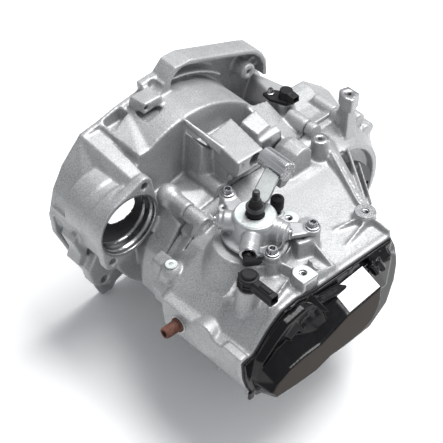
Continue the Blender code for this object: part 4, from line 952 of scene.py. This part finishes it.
def build_turret():
    right = Vector((0.906, 0.423, 0)).normalized()
    left = Vector((-0.75, -0.66, 0)).normalized()
    front = Vector((0.62, -0.78, 0)).normalized()
    adds = [
        turned([(-52, 26.6), (-32.7, 26.6), (-32.7, 38), (-29.5, 38), (-28.2, 31), (-26.5, 27.4),
                (-20, 26.6), (-3, 26.2), (-1.2, 25.6), (-0.2, 24.4)], ORIGIN, UP, 72),
        *[port(*stub) for stub in (
            (front, 52, 10.8), (front, 44, 12.0), (right, 40, 12.6), (right, 33, 14.2),
            (right, 43, 8.2), (left, 42, 10.4), (left, 36, 13.0), (left, 45, 7.2))],
        post((-54, 3, -33), 3.4, 8),
        hull((-30, 8, -32.6), (-30, -10, -32.6), (-58, -4, -32.6), (-60, 8, -32.6),
             (-30, 8, -28), (-30, -10, -28), (-56, -2, -30), (-58, 8, -30)),
    ]
    for x, y in TURRET_BOLTS:
        out = Vector((x, y, 0)).normalized()
        side = Vector((-out.y, out.x, 0))
        root = out * 24
        tip = Vector((x, y, 0))
        corners = []
        for z in (-32.6, -27.0):
            for point, half in ((root, 15.0), (tip, 8.4)):
                corners += [tuple(point + side * half + Vector((0, 0, z))),
                            tuple(point - side * half + Vector((0, 0, z)))]
        adds += [hull(*corners), post((x, y, -32.6), 6.6, 10.2)]
    cuts = [
        post((0, 0, -60), 80, 8.4),
        post((0, 0, -60), 30, 21),
        post((0, 0, -7), 12, 11.5),
        rod(tuple(front * 30 + PORT_CENTRE), tuple(front), 30, 7.8),
        post((-54, 3, -36), 12, 2.6),
        *[post((x, y, -40), 30, 4.5) for x, y in TURRET_BOLTS],
    ]
    turret = solid("selector_turret", adds, cuts, CAST_FINE, voxel=0.95, rounds=3)
    attach(turret, "housing", "cast_aluminium", "selector_housing")
    top = turned([(-0.6, 11.7), (0.5, 11.7), (0.5, 23.4), (-0.6, 24.2)], ORIGIN, UP,
                 96, closed=True)
    piece("turret_top_ring", top, ZINC, 30, "housing", "cast_aluminium")
    mark = plate([(-5.2, -12.6), (5.8, -13.2), (0.4, -22.6)], 0.2, 0.75)
    piece("turret_mark", mark, CAST, None, "housing", "cast_aluminium")
    for i, r in enumerate((41.2, 44.6)):
        data = turned([(-41.5, r - 1.2), (-39.4, r - 0.8), (-39.4, r + 0.4), (-42.5, r + 1.2)],
                      ORIGIN, UP, 96, closed=True)
        piece("seat_ring_%d" % (i + 1), data, MACHINED, 40, "housing", "cast_aluminium")
    # detent caps and the plunger in the open nozzle
    for name, unit, start, radius in (("detent_cap_right", right, 43.0, 6.4),
                                      ("detent_cap_left", left, 45.0, 5.6)):
        data = turned([(-1, radius), (1.6, radius), (2.4, radius - 0.8), (2.4, 0)],
                      tuple(unit * start + PORT_CENTRE), tuple(unit), 40)
        piece(name, data, MACHINED, 30, "housing", "turned_steel")
    mouth = turned([(0, 7.6), (0.5, 7.6), (0.5, 9.6), (-0.6, 10.1)],
                   tuple(front * 52 + PORT_CENTRE), tuple(front), 48, closed=True)
    piece("nozzle_rim", mouth, MACHINED, 30, "housing", "cast_aluminium")
    plug = turned([(29, 7.5), (43, 7.4), (43, 4.8), (54, 4.4), (56, 3.4), (56, 0)],
                  tuple(PORT_CENTRE), tuple(front), 32)
    piece("nozzle_plunger", plug, PLASTIC, 35, "housing", "black_plastic")
    grip = hull((31, -48, -17), (36, -53, -20), (41, -52, -20), (46, -46, -18), (53, -44, -14),
                (55, -40, -10), (51, -39, -9), (44, -42, -13), (33, -45, -13), (38, -51, -15))
    piece("plunger_grip", grip, PLASTIC, None, "housing", "black_plastic")


# ---------------------------------------------------------------- fasteners and small parts

def bolt_head(name, centre, r, shank, *nodes):
    """Flanged bolt of radius r with a socket, its washer face standing on the centre point."""
    profile = [(-shank, 0), (-shank, 0.42 * r), (0, 0.42 * r), (0, r), (1.0, r), (1.8, 0.93 * r),
               (2.2, 0.74 * r), (6.6, 0.70 * r), (7.4, 0.62 * r), (7.4, 0.40 * r),
               (3.4, 0.36 * r), (3.0, 0)]
    piece(name, turned(profile, centre, UP, 36), STEEL, 32, "housing", "turned_steel", *nodes)


def washer(name, centre, inner, outer, height, mat, up=UP):
    data = turned([(0, inner), (height, inner), (height, outer - 0.5), (height - 0.4, outer),
                   (0, outer)], centre, up, 64, closed=True)
    piece(name, data, mat, 32, "housing", "cast_aluminium")


def build_fasteners():
    for i, (x, y) in enumerate(TURRET_BOLTS):
        bolt_head("turret_bolt_%d" % (i + 1), (x, y, -25.6), 8.6, 26,
                  "selector_bolt_%d" % (i + 1))
    washer("cable_pad_round", (3, 55, -39.4), 4.8, 12.0, 1.0, ZINC)
    ring = arc((0, 0), 12.2, 90, 270, 24)
    flat = [(x + 78, y + 3) for x, y in ring] + [(X_COVER - 1, -9.2), (X_COVER - 1, 15.2)]
    hole = [(78 + 4.7 * math.cos(a * math.tau / 24), 3 + 4.7 * math.sin(a * math.tau / 24))
            for a in range(24)]
    pad = solid("cable_pad_cover", [plate(flat, -39.0, -37.6)], [plate(hole, -42, -36)], ZINC,
                voxel=0.5, rounds=1)
    attach(pad, "housing", "cast_aluminium")
    pitch = 0.6
    for name, centre, top in (("thread_round", (3, 55, -52), 12.4),
                              ("thread_cover", (78, 3, -52), 12.4),
                              ("thread_boss", (51, 138, -56), 10.6),
                              ("thread_lug", (-76, 236, -6), 14.4)):
        rings = []
        steps = int(top / pitch)
        for k in range(steps):
            rings += [(k * pitch, 4.35), (k * pitch + 0.3, 3.7)]
        rings += [(steps * pitch, 4.6), (0, 4.6)]
        piece(name, turned(rings, centre, UP, 32, closed=True), STEEL, 25, "housing",
              "turned_steel")
    washer("big_boss_face", (51, 138, -45.2), 4.8, 13.2, 0.6, MACHINED)
    washer("starter_ring_outer", (X_STARTER - 0.15, *STARTER), 41.7, 44.6, 0.35, MACHINED,
           (1, 0, 0))
    washer("side_bolt_face", (-60, -75, -78.4), 3.0, 7.6, 1.4, ZINC)


def build_selector_parts():
    shaft = [(-88, 0), (-88, 6), (-86, 8), (5, 8), (5, 5.7), (21, 5.7), (21, 5.2), (24, 5.2),
             (24, 4.4)]
    for k in range(9):
        shaft += [(24.4 + k * 1.1, 4.5), (24.9 + k * 1.1, 3.8)]
    shaft += [(34.6, 4.2), (35.6, 3.4), (35.9, 2.2), (35.9, 0)]
    piece("selector_rod", turned(shaft, ORIGIN, UP, 40), DARK_STEEL, 30, "selector",
          "phosphated_steel", "selector_shaft")
    base = turned([(1.2, 8.3), (1.2, 10.4), (3.0, 10.7), (4.6, 10.2), (5.2, 9.4), (8, 9.2),
                   (8, 8.3)], ORIGIN, UP, 64, closed=True)
    piece("collar_ring", base, RUBBER, 30, "gate", "turned_steel", "selector_collar")
    boot = turned([(8.3, 5.8), (8.3, 8.9), (12.6, 8.6), (14.6, 8.0), (15.2, 7.2), (16.8, 7.0),
                   (17.4, 7.4), (18.6, 7.4), (19.2, 6.8), (21.4, 6.6), (21.6, 5.8)],
                  ORIGIN, UP, 64, closed=True)
    piece("ribbed_boot", boot, RUBBER, 40, "selector", "black_rubber", "selector_boot")
    along = Vector((-28.0, 61.0, 0.0)).normalized()
    across = Vector((-along.y, along.x, 0.0))

    def spot(reach, side, z):
        return tuple(along * reach + across * side + Vector((0, 0, z)))

    rings = []
    for reach, half, low, high in ((9.6, 8.6, 9.0, 12.6), (16, 10.4, 9.6, 13.2),
                                   (26, 10.8, 12, 16.4), (40, 10.6, 15.4, 19.8),
                                   (54, 10.2, 18, 22.4), (63, 10, 19, 23)):
        rings.append([spot(reach, -half + 1.2, low), spot(reach, half - 1.2, low),
                      spot(reach, half, low + 1.2), spot(reach, half, high - 1.2),
                      spot(reach, half - 1.2, high), spot(reach, -half + 1.2, high),
                      spot(reach, -half, high - 1.2), spot(reach, -half, low + 1.2)])
    piece("lever_strap", loft_data(rings), LEVER_GREY, 35, "selector", "turned_steel",
          "shift_lever")
    hub = turned([(8.6, 8.3), (8.6, 10.8), (9.4, 11.4), (12.6, 11.4), (13.2, 10.8), (13.2, 9.4),
                  (13.2, 8.3)], ORIGIN, UP, 64, closed=True)
    piece("lever_hub", hub, DARK_STEEL, 30, "selector", "turned_steel")
    weight = turned([(-50, 0), (-50, 3.2), (-49.4, 3.6), (-49.4, 11.2), (-49.0, 11.8),
                     (-47.8, 12.5), (-10.6, 12.5), (-9.2, 11.8), (-8.7, 11.2), (-8.7, 0)],
                    (0, 61, 22), (1, 0, 0), 96)
    piece("lever_weight", weight, BRUSHED, 25, "selector", "turned_steel", "counterweight")
    # The foot under the weight is given the darker steel as painted shade.
    foot = hull((-22, 50, 12), (-9.4, 50, 12), (-9.4, 62, 10), (-22, 64, 10), (-22, 50, 3),
                (-10, 50, 3), (-10, 58, 2), (-22, 60, 2), (-22, 51, 20), (-9.4, 51, 20),
                (-22, 70, 14), (-9.6, 70, 14))
    piece("weight_foot", foot, PAINTED_SHADE_STEEL, 30, "selector", "turned_steel")


def build_plastics():
    head = turned([(-66, 6.5), (-41.5, 6.5), (-41.5, 11.6), (-40.6, 12), (-38.6, 12), (-38, 10.9),
                   (-36, 10.9), (-35.4, 12), (-33.2, 12), (-32.6, 11.1), (-31, 11.1),
                   (-30.4, 12), (-25.6, 12), (-24.6, 11.4), (-24.2, 9.2), (-21.4, 8.6),
                   (-20.6, 7.6), (-20.6, 0)], (50, -56, 0), UP, 64)
    piece("switch_head", head, PLASTIC, 35, "housing", "black_plastic", "reverse_switch")
    for k in range(3):
        a = math.radians(200 + 40 * k)
        x, y = 50 + 12.2 * math.cos(a), -56 + 12.2 * math.sin(a)
        lug = turned([(-39, 1.4), (-26, 1.4)], (x, y, 0), UP, 12)
        piece("switch_rib_%d" % (k + 1), lug, PLASTIC, 40, "housing", "black_plastic")
    body = solid("switch_plug", [
        hull((54, -63, -36.6), (54, -49, -36.6), (54, -62, -27), (54, -50, -27),
             (91.6, -62.6, -37.6), (91.6, -49.4, -37.6), (91.6, -62, -26.4),
             (91.6, -50, -26.4), (91.6, -61, -39), (91.6, -51, -39), (58, -51, -39),
             (58, -61, -39), (91.6, -60, -25), (91.6, -52, -25), (60, -52, -25),
             (60, -60, -25)),
        box((70, 86), (-58.6, -53.4), (-26, -23.2)),
    ], [box((79, 94), (-61, -51), (-37, -27)), box((66, 90), (-64, -62), (-33.4, -30.6)),
        box((66, 90), (-50, -48), (-33.4, -30.6))], PLASTIC, voxel=0.55, rounds=2)
    attach(body, "housing", "black_plastic")
    cap = []
    for ribbed, r, z in ((False, 7.6, -30), (True, 8.3, -29), (True, 8.4, -16),
                         (False, 7.4, -14.2), (False, 4.2, -14.0), (False, 4.0, -15.2)):
        ring = []
        for k in range(96):
            a = math.tau * k / 96
            lobe = 0.35 if (k // 2) % 2 and ribbed else 0.0
            ring.append((-13 + (r - lobe) * math.cos(a), 50 + (r - lobe) * math.sin(a), z))
        cap.append(ring)
    piece("vent_cap_ribbed", loft_data(cap), PLASTIC, 30, "housing", "black_plastic",
          "vent_cap")
    stem = turned([(-60, 3.7), (-29, 3.7)], (-13, 50, 0), UP, 24)
    piece("vent_stem", stem, PLASTIC, 30, "housing", "black_plastic")
    plug = turned([(0, 5.7), (20.4, 5.7), (20.4, 9.4), (22, 9.8), (23.2, 9.2), (23.2, 7.8),
                   (41, 7.3), (42.4, 6.6), (42.4, 4.6), (32, 4.5), (32, 0)],
                  (-14, -84, -124), (0, -1, 0), 48)
    piece("rusty_plug", plug, RUST, 30, "housing", "rusty_steel", "drain_plug")
    washer("plug_seal_ring", (-14, -103.2, -124), 6.6, 11.6, 1.4, ZINC, (0, -1, 0))
    sensor = solid("sensor_body", [
        post((-146, 196, -50), 33, 8.0),
        post((-146, 196, -23.6), 17, 9.2, 8.4),
        hull((-172, 180, -23.6), (-158, 178, -23.6), (-136, 188, -23.6), (-136, 204, -23.6),
             (-150, 208, -23.6), (-171, 194, -23.6), (-172, 180, -19), (-158, 178, -19),
             (-136, 188, -19), (-136, 204, -19), (-150, 208, -19), (-171, 194, -19)),
        hull((-148, 190, -18), (-128.4, 190, -18), (-148, 203, -18), (-128.4, 203, -18),
             (-148, 190, -8.4), (-128.4, 191, -8.4), (-148, 203, -8.4), (-128.4, 202, -8.4),
             (-140, 191, -7.4), (-140, 202, -7.4)),
        box((-140, -130), (194, 199), (-9, -7.2)),
    ], [box((-134, -126), (192, 201), (-16.6, -10)), post((-165, 187, -30), 20, 3.4)],
        PLASTIC, voxel=0.6, rounds=2)
    attach(sensor, "housing", "black_plastic", "speed_sensor")
    bolt_head("sensor_bolt", (-165, 187, -18.9), 5.4, 20)


build_bell()
build_casing()
build_cover()
build_turret()
build_fasteners()
build_selector_parts()
build_plastics()
dress_nodes()
place_camera()
build_stage()
